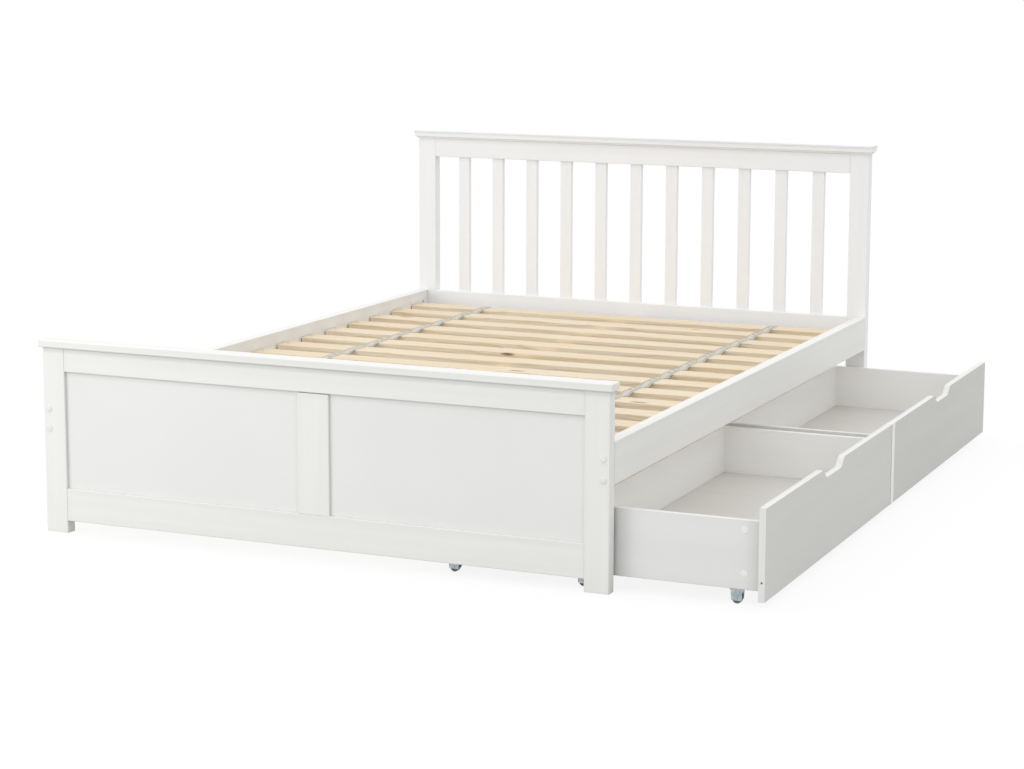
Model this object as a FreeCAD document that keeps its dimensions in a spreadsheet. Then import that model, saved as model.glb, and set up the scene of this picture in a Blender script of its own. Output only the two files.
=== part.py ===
import FreeCAD, Part
import os
import re
import Sketcher

# A wooden double bed frame with two drawers that roll out on castors, drawn in millimetres.
# X runs across the bed, +X to the side of the drawers. Y runs along it, from the foot to the head. Z is up.
# The origin is the point of the floor under the foot of the centre leg, midway along and across the bed.
# The drawers stand pulled out, which is where their slides read zero.

Vector = FreeCAD.Vector

# The driving sizes: alias, millimetres, and what is measured.
SIZES = [
    ("bed_width", 1470, "over the outer faces of the posts"),
    ("bed_length", 2080, "over the outer faces of the foot and head posts"),
    ("edge_round", 2, "eased edges of posts, rails and slats"),
    ("foot_post_wide", 60, "foot post, across the bed"),
    ("foot_post_deep", 30, "foot post, along the bed"),
    ("foot_post_high", 454, "foot post, floor to cap"),
    ("foot_cap_thick", 18, "cap board of the foot end"),
    ("foot_cap_over", 8, "overhang of that cap all round"),
    ("foot_cap_round", 3, "rounded edges of that cap"),
    ("foot_rail_thick", 22, "foot rails and muntin"),
    ("foot_rail_setback", 1, "foot rails behind the posts' front faces"),
    ("foot_top_rail_high", 58, "height of the foot top rail"),
    ("foot_bottom_rail_low", 30, "floor to the foot bottom rail"),
    ("foot_bottom_rail_high", 80, "height of the foot bottom rail"),
    ("muntin_wide", 82, "upright between the foot panels"),
    ("muntin_joint", 2, "open joint over the upright's face, below the top rail"),
    ("panel_thick", 8, "foot panels"),
    ("panel_recess", 6, "panel face behind the rail face"),
    ("groove_deep", 8, "grooves that hold the panels"),
    ("panel_play", 0.2, "play of a panel in its groove"),
    ("panel_end_gap", 0.5, "panel or tenon end to the bottom of its groove"),
    ("head_post_wide", 58, "head post, across the bed"),
    ("head_post_deep", 33, "head post, along the bed"),
    ("head_post_high", 823, "head post, floor to moulding"),
    ("head_rail_thick", 24, "head rails"),
    ("head_rail_setback", 0.5, "head rails behind the posts' front faces"),
    ("head_top_rail_high", 58, "height of the head top rail"),
    ("head_slat_wide", 37, "upright slats of the head end"),
    ("head_slat_thick", 14, "upright slats of the head end"),
    ("head_slat_count", 11, "upright slats of the head end"),
    ("tenon_long", 15, "slat tenon in its mortise"),
    ("mortise_play", 0.2, "play round a slat tenon"),
    ("moulding_thick", 18, "coved strip under the head cap"),
    ("moulding_over", 10, "overhang of the coved strip"),
    ("cove_radius", 6, "hollow of the coved strip"),
    ("head_cap_thick", 7, "cap board of the head end"),
    ("head_cap_over", 12, "overhang of that cap all round"),
    ("head_cap_round", 2, "rounded edges of that cap"),
    ("side_rail_thick", 30, "side rails"),
    ("side_rail_high", 98, "height of the side rails and of the head bottom rail"),
    ("side_rail_low", 241, "floor to the side rails"),
    ("ledger_wide", 30, "ledgers inside the side rails"),
    ("ledger_high", 42, "height of the ledgers"),
    ("ledger_above", 3, "side rail bottom to the ledger bottom"),
    ("ledger_short", 45, "ledger end to side rail end"),
    ("bed_slat_wide", 70, "slats across the bed"),
    ("bed_slat_thick", 18, "slats across the bed"),
    ("bed_slat_count", 14, "slats across the bed"),
    ("bed_slat_play", 3, "slat end to side rail"),
    ("bed_slat_margin", 6, "ledger end to the first slat"),
    ("beam_wide", 45, "beam under the middle of the slats"),
    ("beam_high", 70, "height of that beam"),
    ("beam_end_gap", 4, "beam end to bracket plate"),
    ("bracket_plate", 3, "steel of the beam brackets"),
    ("bracket_long", 45, "beam bracket, along the beam"),
    ("bracket_play", 0.3, "beam to bracket cheek"),
    ("leg_diameter", 25, "steel tube of the centre leg"),
    ("leg_wall", 1.5, "wall of that tube"),
    ("leg_plate_wide", 40, "top plate of the leg, across the bed"),
    ("leg_plate_long", 80, "top plate of the leg, along the bed"),
    ("leg_plate_thick", 4, "top plate of the leg"),
    ("leg_screw_spacing", 60, "between the two screws of that plate"),
    ("foot_pad_diameter", 28, "plastic foot of the leg"),
    ("foot_pad_high", 12, "plastic foot, floor to tube"),
    ("foot_spigot_high", 15, "plastic foot inside the tube"),
    ("spigot_play", 0.1, "spigot to tube wall"),
    ("bolt_diameter", 6, "rail bolts"),
    ("bolt_long", 70, "rail bolts under the head"),
    ("bolt_head_diameter", 10, "rail bolt heads"),
    ("bolt_head_high", 6, "rail bolt heads"),
    ("bolt_play", 0.4, "bore round a rail bolt"),
    ("counterbore_diameter", 12.6, "recess for a bolt head"),
    ("counterbore_deep", 12, "recess for a bolt head"),
    ("bolt_lower", 15, "side rail bottom to the lower bolt"),
    ("bolt_upper", 63, "side rail bottom to the upper bolt"),
    ("nut_diameter", 10, "barrel nuts"),
    ("nut_long", 16, "barrel nuts"),
    ("nut_inset", 35, "side rail end to the barrel nut"),
    ("nut_play", 0.1, "bore round a barrel nut"),
    ("thread_play", 0.05, "barrel nut round its bolt"),
    ("bolt_cap_diameter", 16, "covers over the bolt heads"),
    ("bolt_cap_thick", 1.5, "covers over the bolt heads"),
    ("bolt_cap_plug", 4, "cover's plug in the recess"),
    ("plug_play", 0.1, "plug of a cover to the wall of its recess"),
    ("dowel_diameter", 8, "beech dowels"),
    ("dowel_long", 36, "beech dowels"),
    ("dowel_play", 0.1, "bore round a dowel"),
    ("dowel_end_gap", 0.5, "dowel end to the bottom of its bore"),
    ("dowel_margin", 16, "rail edge to the nearer dowel"),
    ("foot_cap_bite", 14, "dowel in the foot cap"),
    ("head_cap_bite", 4, "dowel in the head cap"),
    ("screw_diameter", 4, "wood screws"),
    ("screw_head_diameter", 8, "wood screw heads"),
    ("screw_head_high", 2.5, "wood screw heads"),
    ("screw_play", 0.2, "bore round a screw"),
    ("ledger_screw_long", 42, "ledger screws under the head"),
    ("ledger_screw_count", 6, "screws in each ledger"),
    ("ledger_screw_margin", 110, "ledger end to its first screw"),
    ("bracket_screw_long", 16, "bracket and leg screws under the head"),
    ("bracket_screw_spacing", 34, "between the two screws of a bracket"),
    ("pull_out", 341, "how far the drawers stand pulled out"),
    ("front_thick", 16, "drawer fronts"),
    ("front_margin", 8, "end of the bed, over the posts, to the end of a drawer front"),
    ("front_high", 208, "height of the drawer fronts"),
    ("front_low", 19, "floor to the drawer fronts"),
    ("fronts_gap", 16, "between the two fronts"),
    ("front_round", 1.2, "eased edges of the drawer boards"),
    ("notch_wide", 170, "finger notch, at the top"),
    ("notch_deep", 22, "finger notch"),
    ("notch_slope", 24, "run of each sloping end of the notch"),
    ("notch_round", 24, "curves of those ends"),
    ("notch_offset", 1, "middle of the notch from the middle of the front, towards the foot"),
    ("edge_hole_diameter", 5, "hole in each end edge of a front"),
    ("edge_hole_deep", 14, "that hole"),
    ("edge_hole_high", 43, "front bottom to that hole"),
    ("box_deep", 776, "drawer box behind its front"),
    ("side_thick", 12, "drawer sides, back and divider"),
    ("side_high", 155, "drawer sides and back"),
    ("side_low", 35, "floor to the drawer sides"),
    ("post_gap", 5, "posts' inner faces to the drawer sides"),
    ("inner_inset", 13, "front end to drawer side, at the middle"),
    ("bottom_thick", 5, "drawer bottom"),
    ("bottom_low", 65, "floor to the drawer bottom"),
    ("bottom_groove", 6, "groove for the drawer bottom"),
    ("bottom_play", 0.2, "drawer bottom in its groove"),
    ("divider_back", 421, "front to divider"),
    ("batten_wide", 52, "battens that carry the castors"),
    ("batten_high", 30, "height of the battens"),
    ("front_castor_back", 60, "front to the first castor row"),
    ("middle_castor_back", 420, "front to the middle castor row"),
    ("rear_castor_fore", 38, "back of the box to the rear castor row"),
    ("wheel_diameter", 22, "castor wheels"),
    ("wheel_wide", 12, "castor wheels"),
    ("wheel_groove", 1.5, "hollow in each flank of a wheel"),
    ("tyre_wall", 3, "rim of a wheel outside that hollow"),
    ("hub_wall", 2, "hub of a wheel inside that hollow"),
    ("axle_diameter", 4, "castor axles"),
    ("axle_play", 0.05, "running clearance round an axle"),
    ("rivet_head_diameter", 6, "heads of an axle"),
    ("rivet_head_thick", 1, "heads of an axle"),
    ("fork_steel", 2, "steel of the castor housings"),
    ("fork_plate_long", 30, "housing plate, across the bed"),
    ("fork_plate_wide", 28, "housing plate, along the bed"),
    ("cheek_top_wide", 27, "cheek at the plate"),
    ("cheek_low_wide", 23, "cheek at its lower edge"),
    ("cheek_below_axle", 3.5, "axle to the cheek's lower edge"),
    ("cheek_round", 3, "lower corners of a cheek"),
    ("cheek_play", 1, "wheel flank to cheek"),
    ("cam_bore_diameter", 15, "recesses over the cam locks"),
    ("cam_bore_deep", 5.5, "recesses over the cam locks"),
    ("cam_back", 41, "front to the cam locks"),
    ("cam_lower", 35, "drawer side bottom to the lower cam lock"),
    ("cam_upper", 133, "drawer side bottom to the upper cam lock"),
    ("cam_cap_diameter", 17, "covers of the cam locks"),
    ("cam_cap_thick", 0.8, "covers of the cam locks"),
    ("cam_cap_plug", 5, "cover's plug in the recess"),
]

# The quarters of a rail's length where the cap dowels stand.
QUARTERS = (1, 2, 3)

# Places and sizes that follow from the driving sizes: alias and formula.
PLACES = [
    ("side_face", "bed_width / 2"),
    ("foot_face", "-bed_length / 2"),
    ("head_face", "bed_length / 2"),
    ("foot_back", "foot_face + foot_post_deep"),
    ("head_front", "head_face - head_post_deep"),
    ("foot_rail_face", "foot_face + foot_rail_setback"),
    ("foot_rail_long", "bed_width - 2 * foot_post_wide"),
    ("foot_top_rail_low", "foot_post_high - foot_top_rail_high"),
    ("foot_bottom_rail_top", "foot_bottom_rail_low + foot_bottom_rail_high"),
    ("foot_opening_high", "foot_top_rail_low - foot_bottom_rail_top"),
    ("panel_tongue", "groove_deep - panel_end_gap"),
    ("panel_groove_wide", "panel_thick + 2 * panel_play"),
    ("panel_groove_face", "panel_recess - panel_play"),
    ("head_rail_face", "head_front + head_rail_setback"),
    ("head_rail_long", "bed_width - 2 * head_post_wide"),
    ("head_top_rail_low", "head_post_high - head_top_rail_high"),
    ("side_rail_top", "side_rail_low + side_rail_high"),
    ("head_slat_gap", "(head_rail_long - head_slat_count * head_slat_wide) / (head_slat_count + 1)"),
    ("head_slat_pitch", "head_slat_wide + head_slat_gap"),
    ("head_slat_setback", "(head_rail_thick - head_slat_thick) / 2"),
    ("head_cap_low", "head_post_high + moulding_thick"),
    ("side_rail_long", "bed_length - foot_post_deep - head_post_deep"),
    ("bolt_line", "side_face - side_rail_thick / 2"),
    ("bolt_bore", "bolt_diameter / 2 + bolt_play"),
    ("nut_bore", "nut_diameter / 2 + nut_play"),
    ("nut_bore_deep", "(side_rail_thick + nut_long) / 2 + 1"),
    ("ledger_low", "side_rail_low + ledger_above"),
    ("ledger_long", "side_rail_long - 2 * ledger_short"),
    ("ledger_screw_pitch", "(ledger_long - 2 * ledger_screw_margin) / (ledger_screw_count - 1)"),
    ("ledger_screw_high", "bolt_lower - ledger_above + (ledger_high + ledger_above) / 4"),
    ("slat_low", "ledger_low + ledger_high"),
    ("bed_slat_long", "bed_width - 2 * side_rail_thick - 2 * bed_slat_play"),
    ("bed_slat_run", "ledger_long - 2 * bed_slat_margin - bed_slat_wide"),
    ("bed_slat_pitch", "bed_slat_run / (bed_slat_count - 1)"),
    ("beam_low", "slat_low - beam_high"),
    ("foot_plate_face", "foot_rail_face + foot_rail_thick"),
    ("beam_foot_end", "foot_plate_face + bracket_plate + beam_end_gap"),
    ("beam_head_end", "head_rail_face - bracket_plate - beam_end_gap"),
    ("bracket_wide", "beam_wide + 2 * bracket_play + 2 * bracket_plate"),
    ("bracket_low", "beam_low - bracket_plate"),
    ("bracket_screw_low", "beam_low + (beam_high - bracket_screw_spacing) / 2"),
    ("leg_plate_low", "beam_low - leg_plate_thick"),
    ("leg_tube_long", "leg_plate_low - foot_pad_high"),
    ("screw_bore", "screw_diameter / 2 + screw_play"),
    ("dowel_bore", "dowel_diameter / 2 + dowel_play"),
    ("dowel_bore_deep", "dowel_long / 2 + dowel_end_gap"),
    ("foot_cap_root", "dowel_long - foot_cap_bite"),
    ("head_cap_root", "dowel_long - moulding_thick - head_cap_bite"),
    ("front_long", "(bed_length - fronts_gap) / 2 - front_margin"),
    ("outer_inset", "max(foot_post_deep; head_post_deep) + post_gap - front_margin"),
    ("front_back", "side_face + pull_out"),
    ("box_rear", "front_back - box_deep"),
    ("box_long", "front_long - outer_inset - inner_inset"),
    ("inside_long", "box_long - 2 * side_thick"),
    ("inside_deep", "box_deep - side_thick"),
    ("groove_low", "bottom_low - bottom_play"),
    ("groove_high", "bottom_thick + 2 * bottom_play"),
    ("bottom_tongue", "bottom_groove - bottom_play"),
    ("divider_low", "bottom_low + bottom_thick"),
    ("divider_high", "side_low + side_high - divider_low"),
    ("axle_height", "wheel_diameter / 2"),
    ("axle_bore", "axle_diameter / 2 + axle_play"),
    ("batten_low", "bottom_low - batten_high"),
    ("cheek_offset", "wheel_wide / 2 + cheek_play"),
    ("castor_front", "front_back - front_castor_back"),
    ("castor_middle", "front_back - middle_castor_back"),
    ("castor_rear", "box_rear + rear_castor_fore"),
    ("castor_near", "fork_plate_wide / 2"),
    ("castor_far", "box_long - fork_plate_wide / 2"),
    ("foot_front_low", "-front_long - fronts_gap / 2"),
    ("foot_box_low", "foot_front_low + outer_inset"),
    ("head_front_low", "fronts_gap / 2"),
    ("head_box_low", "head_front_low + inner_inset"),
]

doc = FreeCAD.newDocument("bed_frame")
parts = []


# ---------------------------------------------------------------- the two sheets

def fill_sheet(name, rows):
    """Makes a sheet with one row for each (alias, content, note)."""
    sheet = doc.addObject("Spreadsheet::Sheet", name)
    for number, (alias, content, note) in enumerate(rows, start=1):
        sheet.set("A%d" % number, alias)
        sheet.set("B%d" % number, content)
        sheet.set("C%d" % number, note)
        sheet.setAlias("B%d" % number, alias)
    return sheet


OWNER = {alias: "sizes" for alias, _, _ in SIZES}
OWNER.update({alias: "places" for alias, _ in PLACES})


def cells(formula):
    """The formula with each alias written as a reference to its sheet."""
    def refer(match):
        word = match.group(0)
        return "%s.%s" % (OWNER[word], word) if word in OWNER else word
    return re.sub(r"[a-z][a-z_]*", refer, str(formula))


sizes = fill_sheet("sizes", [(alias, str(amount), note) for alias, amount, note in SIZES])
places = fill_sheet("places", [(alias, "=" + cells(formula), formula) for alias, formula in PLACES])
doc.recompute()


def value(alias):
    """The number that an alias stands for, in millimetres."""
    return float(doc.getObject(OWNER[alias]).get(alias))


def bind(thing, setting, formula):
    """Ties one property of an object to a formula in the sheets' aliases."""
    thing.setExpression(setting, cells(formula))


# ---------------------------------------------------------------- bodies, sketches and features

# For each direction of a cut: the sketch plane across it, the sign of that plane's normal, and whether
# a pocket has to be reversed to cut towards the positive end of the axis.
ACROSS = {
    "X": ("YZ_Plane", "", True),
    "Y": ("XZ_Plane", "-", False),
    "Z": ("XY_Plane", "", True),
}


def origin_feature(body, role):
    """The origin plane or axis of a body with the given role."""
    return [feature for feature in body.Origin.OriginFeatures if feature.Role == role][0]


def new_body(name, low):
    """A body whose own zero is the low corner given by three formulas."""
    body = doc.addObject("PartDesign::Body", name)
    body.Label = name
    for axis, formula in zip("xyz", low):
        bind(body, "Placement.Base." + axis, formula)
    parts.append(body)
    return body


def new_sketch(body, name, axis, start):
    """A sketch on the plane across an axis, at a distance from the body's zero."""
    role, sign, _ = ACROSS[axis]
    sketch = body.newObject("Sketcher::SketchObject", name)
    sketch.AttachmentSupport = [(origin_feature(body, role), "")]
    sketch.MapMode = "FlatFace"
    bind(sketch, "AttachmentOffset.Base.z", "%s(%s)" % (sign, start))
    return sketch


def hold_point(sketch, item, end, spot):
    """Ties one point of a sketch to two formulas."""
    for kind, formula in zip(("DistanceX", "DistanceY"), spot):
        index = sketch.addConstraint(Sketcher.Constraint(kind, -1, 1, item, end, 1.0))
        bind(sketch, "Constraints[%d]" % index, formula)


def draw_outline(sketch, spots):
    """Draws a closed outline of straight lines with each corner tied to its formulas."""
    first = sketch.GeometryCount
    total = len(spots)
    for step in range(total):
        start = Vector(step, step * step, 0)
        after = (step + 1) % total
        sketch.addGeometry(Part.LineSegment(start, Vector(after, after * after, 0)), False)
    for step in range(total):
        after = first + (step + 1) % total
        sketch.addConstraint(Sketcher.Constraint("Coincident", first + step, 2, after, 1))
        hold_point(sketch, first + step, 1, spots[step])


def draw_circle(sketch, spot, radius):
    """Draws a circle with its centre and radius tied to formulas."""
    circle = Part.Circle(Vector(1, 1, 0), Vector(0, 0, 1), 1)
    item = sketch.addGeometry(circle, False)
    hold_point(sketch, item, 3, spot)
    index = sketch.addConstraint(Sketcher.Constraint("Radius", item, 1.0))
    bind(sketch, "Constraints[%d]" % index, radius)


def rectangle(low, size):
    """The corners of a rectangle from its low corner and its size, all formulas."""
    far = ["(%s) + (%s)" % pair for pair in zip(low, size)]
    return [(low[0], low[1]), (far[0], low[1]), (far[0], far[1]), (low[0], far[1])]


def pad(body, sketch, axis, length):
    """Pads a sketch towards the positive end of the axis across it."""
    feature = body.newObject("PartDesign::Pad", sketch.Name + "_pad")
    feature.Profile = sketch
    feature.Reversed = not ACROSS[axis][2]
    bind(feature, "Length", length)
    return feature


def pocket(body, sketch, axis, length):
    """Cuts a sketch towards the positive end of the axis across it."""
    feature = body.newObject("PartDesign::Pocket", sketch.Name + "_cut")
    feature.Profile = sketch
    feature.Reversed = ACROSS[axis][2]
    bind(feature, "Length", length)
    return feature


def cut_box(body, name, low, size):
    """Cuts a box out of a body."""
    sketch = new_sketch(body, body.Name + "_" + name, "Z", low[2])
    draw_outline(sketch, rectangle(low[:2], size[:2]))
    return pocket(body, sketch, "Z", size[2])


def cut_round(body, name, axis, start, length, spots, radius):
    """Cuts round holes along an axis, one at each spot across it."""
    sketch = new_sketch(body, body.Name + "_" + name, axis, start)
    for spot in spots:
        draw_circle(sketch, spot, radius)
    return pocket(body, sketch, axis, length)


def along(direction):
    """A test for straight edges that run along a direction."""
    def runs_along(edge):
        if edge.Curve.TypeId != "Part::GeomLine":
            return False
        return abs(edge.Curve.Direction.dot(direction)) > 0.999
    return runs_along


ALONG_X = along(Vector(1, 0, 0))
ALONG_Y = along(Vector(0, 1, 0))
ALONG_Z = along(Vector(0, 0, 1))


def round_edges(body, name, radius, chosen):
    """Rounds the edges of a body's last feature that pass a test."""
    doc.recompute()
    base = body.Tip
    names = ["Edge%d" % (index + 1) for index, edge in enumerate(base.Shape.Edges) if chosen(edge)]
    feature = body.newObject("PartDesign::Fillet", body.Name + "_" + name)
    feature.Base = (base, names)
    bind(feature, "Radius", radius)
    return feature


def repeat(body, name, features, role, pitch, count):
    """Repeats features along an axis of the body, a pitch apart."""
    doc.recompute()
    feature = body.newObject("PartDesign::LinearPattern", body.Name + "_" + name)
    feature.Originals = features
    feature.Direction = (origin_feature(body, role), [""])
    bind(feature, "Length", "(%s) * (%s - 1)" % (pitch, count))
    bind(feature, "Occurrences", count)
    body.Tip = feature
    return feature


def board(name, low, size):
    """A rectangular board from its low corner and its size."""
    body = new_body(name, low)
    sketch = new_sketch(body, name + "_outline", "Z", "0")
    draw_outline(sketch, rectangle(("0", "0"), size[:2]))
    pad(body, sketch, "Z", size[2])
    return body


def eased_board(name, low, size, chosen, radius="edge_round"):
    """A board with the chosen edges rounded."""
    body = board(name, low, size)
    round_edges(body, "round", radius, chosen)
    return body


def group(name, solids):
    """One sub-part made of separate like solids."""
    feature = doc.addObject("Part::Feature", name)
    feature.Label = name
    feature.Shape = Part.makeCompound(solids)
    parts.append(feature)
    return feature


def rod(start, direction, length, radius):
    """A round bar of the given length from a start point."""
    return Part.makeCylinder(radius, length, start, direction)


# ---------------------------------------------------------------- foot end

def dowel_heights(low, high):
    """Heights of the two dowels of a rail, as formulas from the bottom of the piece they are bored in."""
    return ["%s + dowel_margin" % low, "%s + %s - dowel_margin" % (low, high)]


def foot_post(name, side):
    """A foot post: side is -1 on the left and 1 on the right."""
    left = side < 0
    low_x = "-side_face" if left else "side_face - foot_post_wide"
    body = eased_board(name, (low_x, "foot_face", "0"),
                       ("foot_post_wide", "foot_post_deep", "foot_post_high"), ALONG_Z)
    inner = "foot_post_wide - groove_deep" if left else "0"
    cut_box(body, "groove",
            (inner, "foot_rail_setback + panel_groove_face", "foot_bottom_rail_top - groove_deep"),
            ("groove_deep", "panel_groove_wide", "foot_opening_high + 2 * groove_deep"))
    line = "side_rail_thick / 2" if left else "foot_post_wide - side_rail_thick / 2"
    spots = [(line, "side_rail_low + bolt_lower"), (line, "side_rail_low + bolt_upper")]
    cut_round(body, "bolt_bores", "Y", "0", "foot_post_deep", spots, "bolt_bore")
    cut_round(body, "bolt_recesses", "Y", "0", "counterbore_deep", spots, "counterbore_diameter / 2")
    heights = dowel_heights("foot_bottom_rail_low", "foot_bottom_rail_high")
    heights += dowel_heights("foot_top_rail_low", "foot_top_rail_high")
    depth = "foot_rail_setback + foot_rail_thick / 2"
    start = "foot_post_wide - dowel_bore_deep" if left else "0"
    spots = [(depth, up) for up in heights]
    cut_round(body, "rail_dowels", "X", start, "dowel_bore_deep", spots, "dowel_bore")
    cut_round(body, "cap_dowel", "Z", "foot_post_high - foot_cap_root - dowel_end_gap",
              "foot_cap_root + dowel_end_gap", [("foot_post_wide / 2", "foot_post_deep / 2")], "dowel_bore")
    return body


def rail_dowel_bores(body, long, deep, high):
    """Dowel bores in both ends of a rail."""
    spots = [(deep, up) for up in dowel_heights("0", high)]
    for end, start in (("left", "0"), ("right", "%s - dowel_bore_deep" % long)):
        cut_round(body, end + "_dowels", "X", start, "dowel_bore_deep", spots, "dowel_bore")


def quarter_spots(long, deep):
    """The spots of the cap dowels along a top rail, at its quarters."""
    return [("%s * %d / 4" % (long, quarter), deep) for quarter in QUARTERS]


def foot_rails():
    """The two rails of the foot end, grooved for the panels."""
    top = eased_board("foot_top_rail", ("-foot_rail_long / 2", "foot_rail_face", "foot_top_rail_low"),
                      ("foot_rail_long", "foot_rail_thick", "foot_top_rail_high"), ALONG_X)
    cut_box(top, "groove", ("0", "panel_groove_face", "0"),
            ("foot_rail_long", "panel_groove_wide", "groove_deep"))
    rail_dowel_bores(top, "foot_rail_long", "foot_rail_thick / 2", "foot_top_rail_high")
    cut_round(top, "cap_dowels", "Z", "foot_top_rail_high - foot_cap_root - dowel_end_gap",
              "foot_cap_root + dowel_end_gap", quarter_spots("foot_rail_long", "foot_rail_thick / 2"),
              "dowel_bore")
    bottom = eased_board("foot_bottom_rail",
                         ("-foot_rail_long / 2", "foot_rail_face", "foot_bottom_rail_low"),
                         ("foot_rail_long", "foot_rail_thick", "foot_bottom_rail_high"), ALONG_X)
    cut_box(bottom, "groove", ("0", "panel_groove_face", "foot_bottom_rail_high - groove_deep"),
            ("foot_rail_long", "panel_groove_wide", "groove_deep"))
    rail_dowel_bores(bottom, "foot_rail_long", "foot_rail_thick / 2", "foot_bottom_rail_high")


def foot_muntin():
    """The upright between the panels, with a tenon at each end and a groove in each side."""
    body = eased_board("foot_muntin",
                       ("-muntin_wide / 2", "foot_rail_face", "foot_bottom_rail_top - panel_tongue"),
                       ("muntin_wide", "foot_rail_thick", "foot_opening_high + 2 * panel_tongue"), ALONG_Z)
    ends = {"bottom": "0", "top": "foot_opening_high + panel_tongue"}
    faces = {"front": ("0", "panel_recess"),
             "back": ("panel_recess + panel_thick", "foot_rail_thick - panel_recess - panel_thick")}
    for end, low in ends.items():
        for face, (start, deep) in faces.items():
            cut_box(body, "%s_%s_shoulder" % (end, face), ("0", start, low),
                    ("muntin_wide", deep, "panel_tongue"))
    cut_box(body, "open_joint", ("0", "0", "foot_opening_high + panel_tongue - muntin_joint"),
            ("muntin_wide", "panel_recess", "muntin_joint"))
    for side, start in (("left", "0"), ("right", "muntin_wide - groove_deep")):
        cut_box(body, side + "_groove", (start, "panel_groove_face", "0"),
                ("groove_deep", "panel_groove_wide", "foot_opening_high + 2 * panel_tongue"))
    spots = [("muntin_wide / 2", up) for up in bracket_screw_heights("foot_bottom_rail_top - panel_tongue")]
    cut_round(body, "bracket_screws", "Y", "foot_rail_thick - bracket_screw_long",
              "bracket_screw_long", spots, "screw_bore")


def bracket_screw_heights(zero):
    """Heights of a bracket's two screws above a piece's own zero."""
    return ["bracket_screw_low - (%s)" % zero, "bracket_screw_low + bracket_screw_spacing - (%s)" % zero]


def foot_panels():
    """The two flat panels, each with its edges in the grooves."""
    size = ("(foot_rail_long - muntin_wide) / 2 + 2 * panel_tongue", "panel_thick",
            "foot_opening_high + 2 * panel_tongue")
    low = ("foot_rail_face + panel_recess", "foot_bottom_rail_top - panel_tongue")
    board("foot_panel_left", ("-foot_rail_long / 2 - panel_tongue",) + low, size)
    board("foot_panel_right", ("muntin_wide / 2 - panel_tongue",) + low, size)


def foot_cap():
    """The cap board of the foot end."""
    low = ("-side_face - foot_cap_over", "foot_face - foot_cap_over", "foot_post_high")
    size = ("bed_width + 2 * foot_cap_over", "foot_post_deep + 2 * foot_cap_over", "foot_cap_thick")
    body = eased_board("foot_cap", low, size, lambda edge: True, "foot_cap_round")
    rail = "foot_cap_over + foot_rail_setback + foot_rail_thick / 2"
    along_rail = "foot_cap_over + foot_post_wide + foot_rail_long * %d / 4"
    spots = [(along_rail % quarter, rail) for quarter in QUARTERS]
    post = "foot_cap_over + foot_post_deep / 2"
    spots.append(("foot_cap_over + foot_post_wide / 2", post))
    spots.append(("foot_cap_over + bed_width - foot_post_wide / 2", post))
    cut_round(body, "dowels", "Z", "0", "foot_cap_bite + dowel_end_gap", spots, "dowel_bore")


# ---------------------------------------------------------------- head end

def head_post(name, side):
    """A head post: side is -1 on the left and 1 on the right."""
    left = side < 0
    low_x = "-side_face" if left else "side_face - head_post_wide"
    body = eased_board(name, (low_x, "head_front", "0"),
                       ("head_post_wide", "head_post_deep", "head_post_high"), ALONG_Z)
    line = "side_rail_thick / 2" if left else "head_post_wide - side_rail_thick / 2"
    spots = [(line, "side_rail_low + bolt_lower"), (line, "side_rail_low + bolt_upper")]
    cut_round(body, "bolt_bores", "Y", "0", "head_post_deep", spots, "bolt_bore")
    cut_round(body, "bolt_recesses", "Y", "head_post_deep - counterbore_deep", "counterbore_deep", spots,
              "counterbore_diameter / 2")
    heights = dowel_heights("side_rail_low", "side_rail_high")
    heights += dowel_heights("head_top_rail_low", "head_top_rail_high")
    depth = "head_rail_setback + head_rail_thick / 2"
    start = "head_post_wide - dowel_bore_deep" if left else "0"
    spots = [(depth, up) for up in heights]
    cut_round(body, "rail_dowels", "X", start, "dowel_bore_deep", spots, "dowel_bore")
    cut_round(body, "cap_dowel", "Z", "head_post_high - head_cap_root - dowel_end_gap",
              "head_cap_root + dowel_end_gap", [("head_post_wide / 2", "head_post_deep / 2")], "dowel_bore")


def mortises(body, low):
    """A row of mortises for the slat tenons, from one height of a rail."""
    corner = ("head_slat_gap - mortise_play", "head_slat_setback - mortise_play", low)
    size = ("head_slat_wide + 2 * mortise_play", "head_slat_thick + 2 * mortise_play",
            "tenon_long + dowel_end_gap")
    first = cut_box(body, "mortise", corner, size)
    repeat(body, "mortises", [first], "X_Axis", "head_slat_pitch", "head_slat_count")


def head_rails():
    """The two rails of the head end."""
    top = eased_board("head_top_rail", ("-head_rail_long / 2", "head_rail_face", "head_top_rail_low"),
                      ("head_rail_long", "head_rail_thick", "head_top_rail_high"), ALONG_X)
    mortises(top, "0")
    rail_dowel_bores(top, "head_rail_long", "head_rail_thick / 2", "head_top_rail_high")
    cut_round(top, "cap_dowels", "Z", "head_top_rail_high - head_cap_root - dowel_end_gap",
              "head_cap_root + dowel_end_gap", head_quarters("0", "0"), "dowel_bore")
    bottom = eased_board("head_bottom_rail", ("-head_rail_long / 2", "head_rail_face", "side_rail_low"),
                         ("head_rail_long", "head_rail_thick", "side_rail_high"), ALONG_X)
    mortises(bottom, "side_rail_high - tenon_long - dowel_end_gap")
    rail_dowel_bores(bottom, "head_rail_long", "head_rail_thick / 2", "side_rail_high")
    spots = [("head_rail_long / 2", up) for up in bracket_screw_heights("side_rail_low")]
    cut_round(bottom, "bracket_screws", "Y", "0", "bracket_screw_long", spots, "screw_bore")


def head_quarters(shift_x, shift_y):
    """The cap dowels' spots between the slats nearest the quarters of the head rail."""
    middle = "head_slat_gap / 2 + head_slat_pitch * floor((head_slat_count + 1) * %d / 4)"
    deep = "%s + head_rail_thick / 2" % shift_y
    return [("%s + %s" % (shift_x, middle % quarter), deep) for quarter in QUARTERS]


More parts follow.
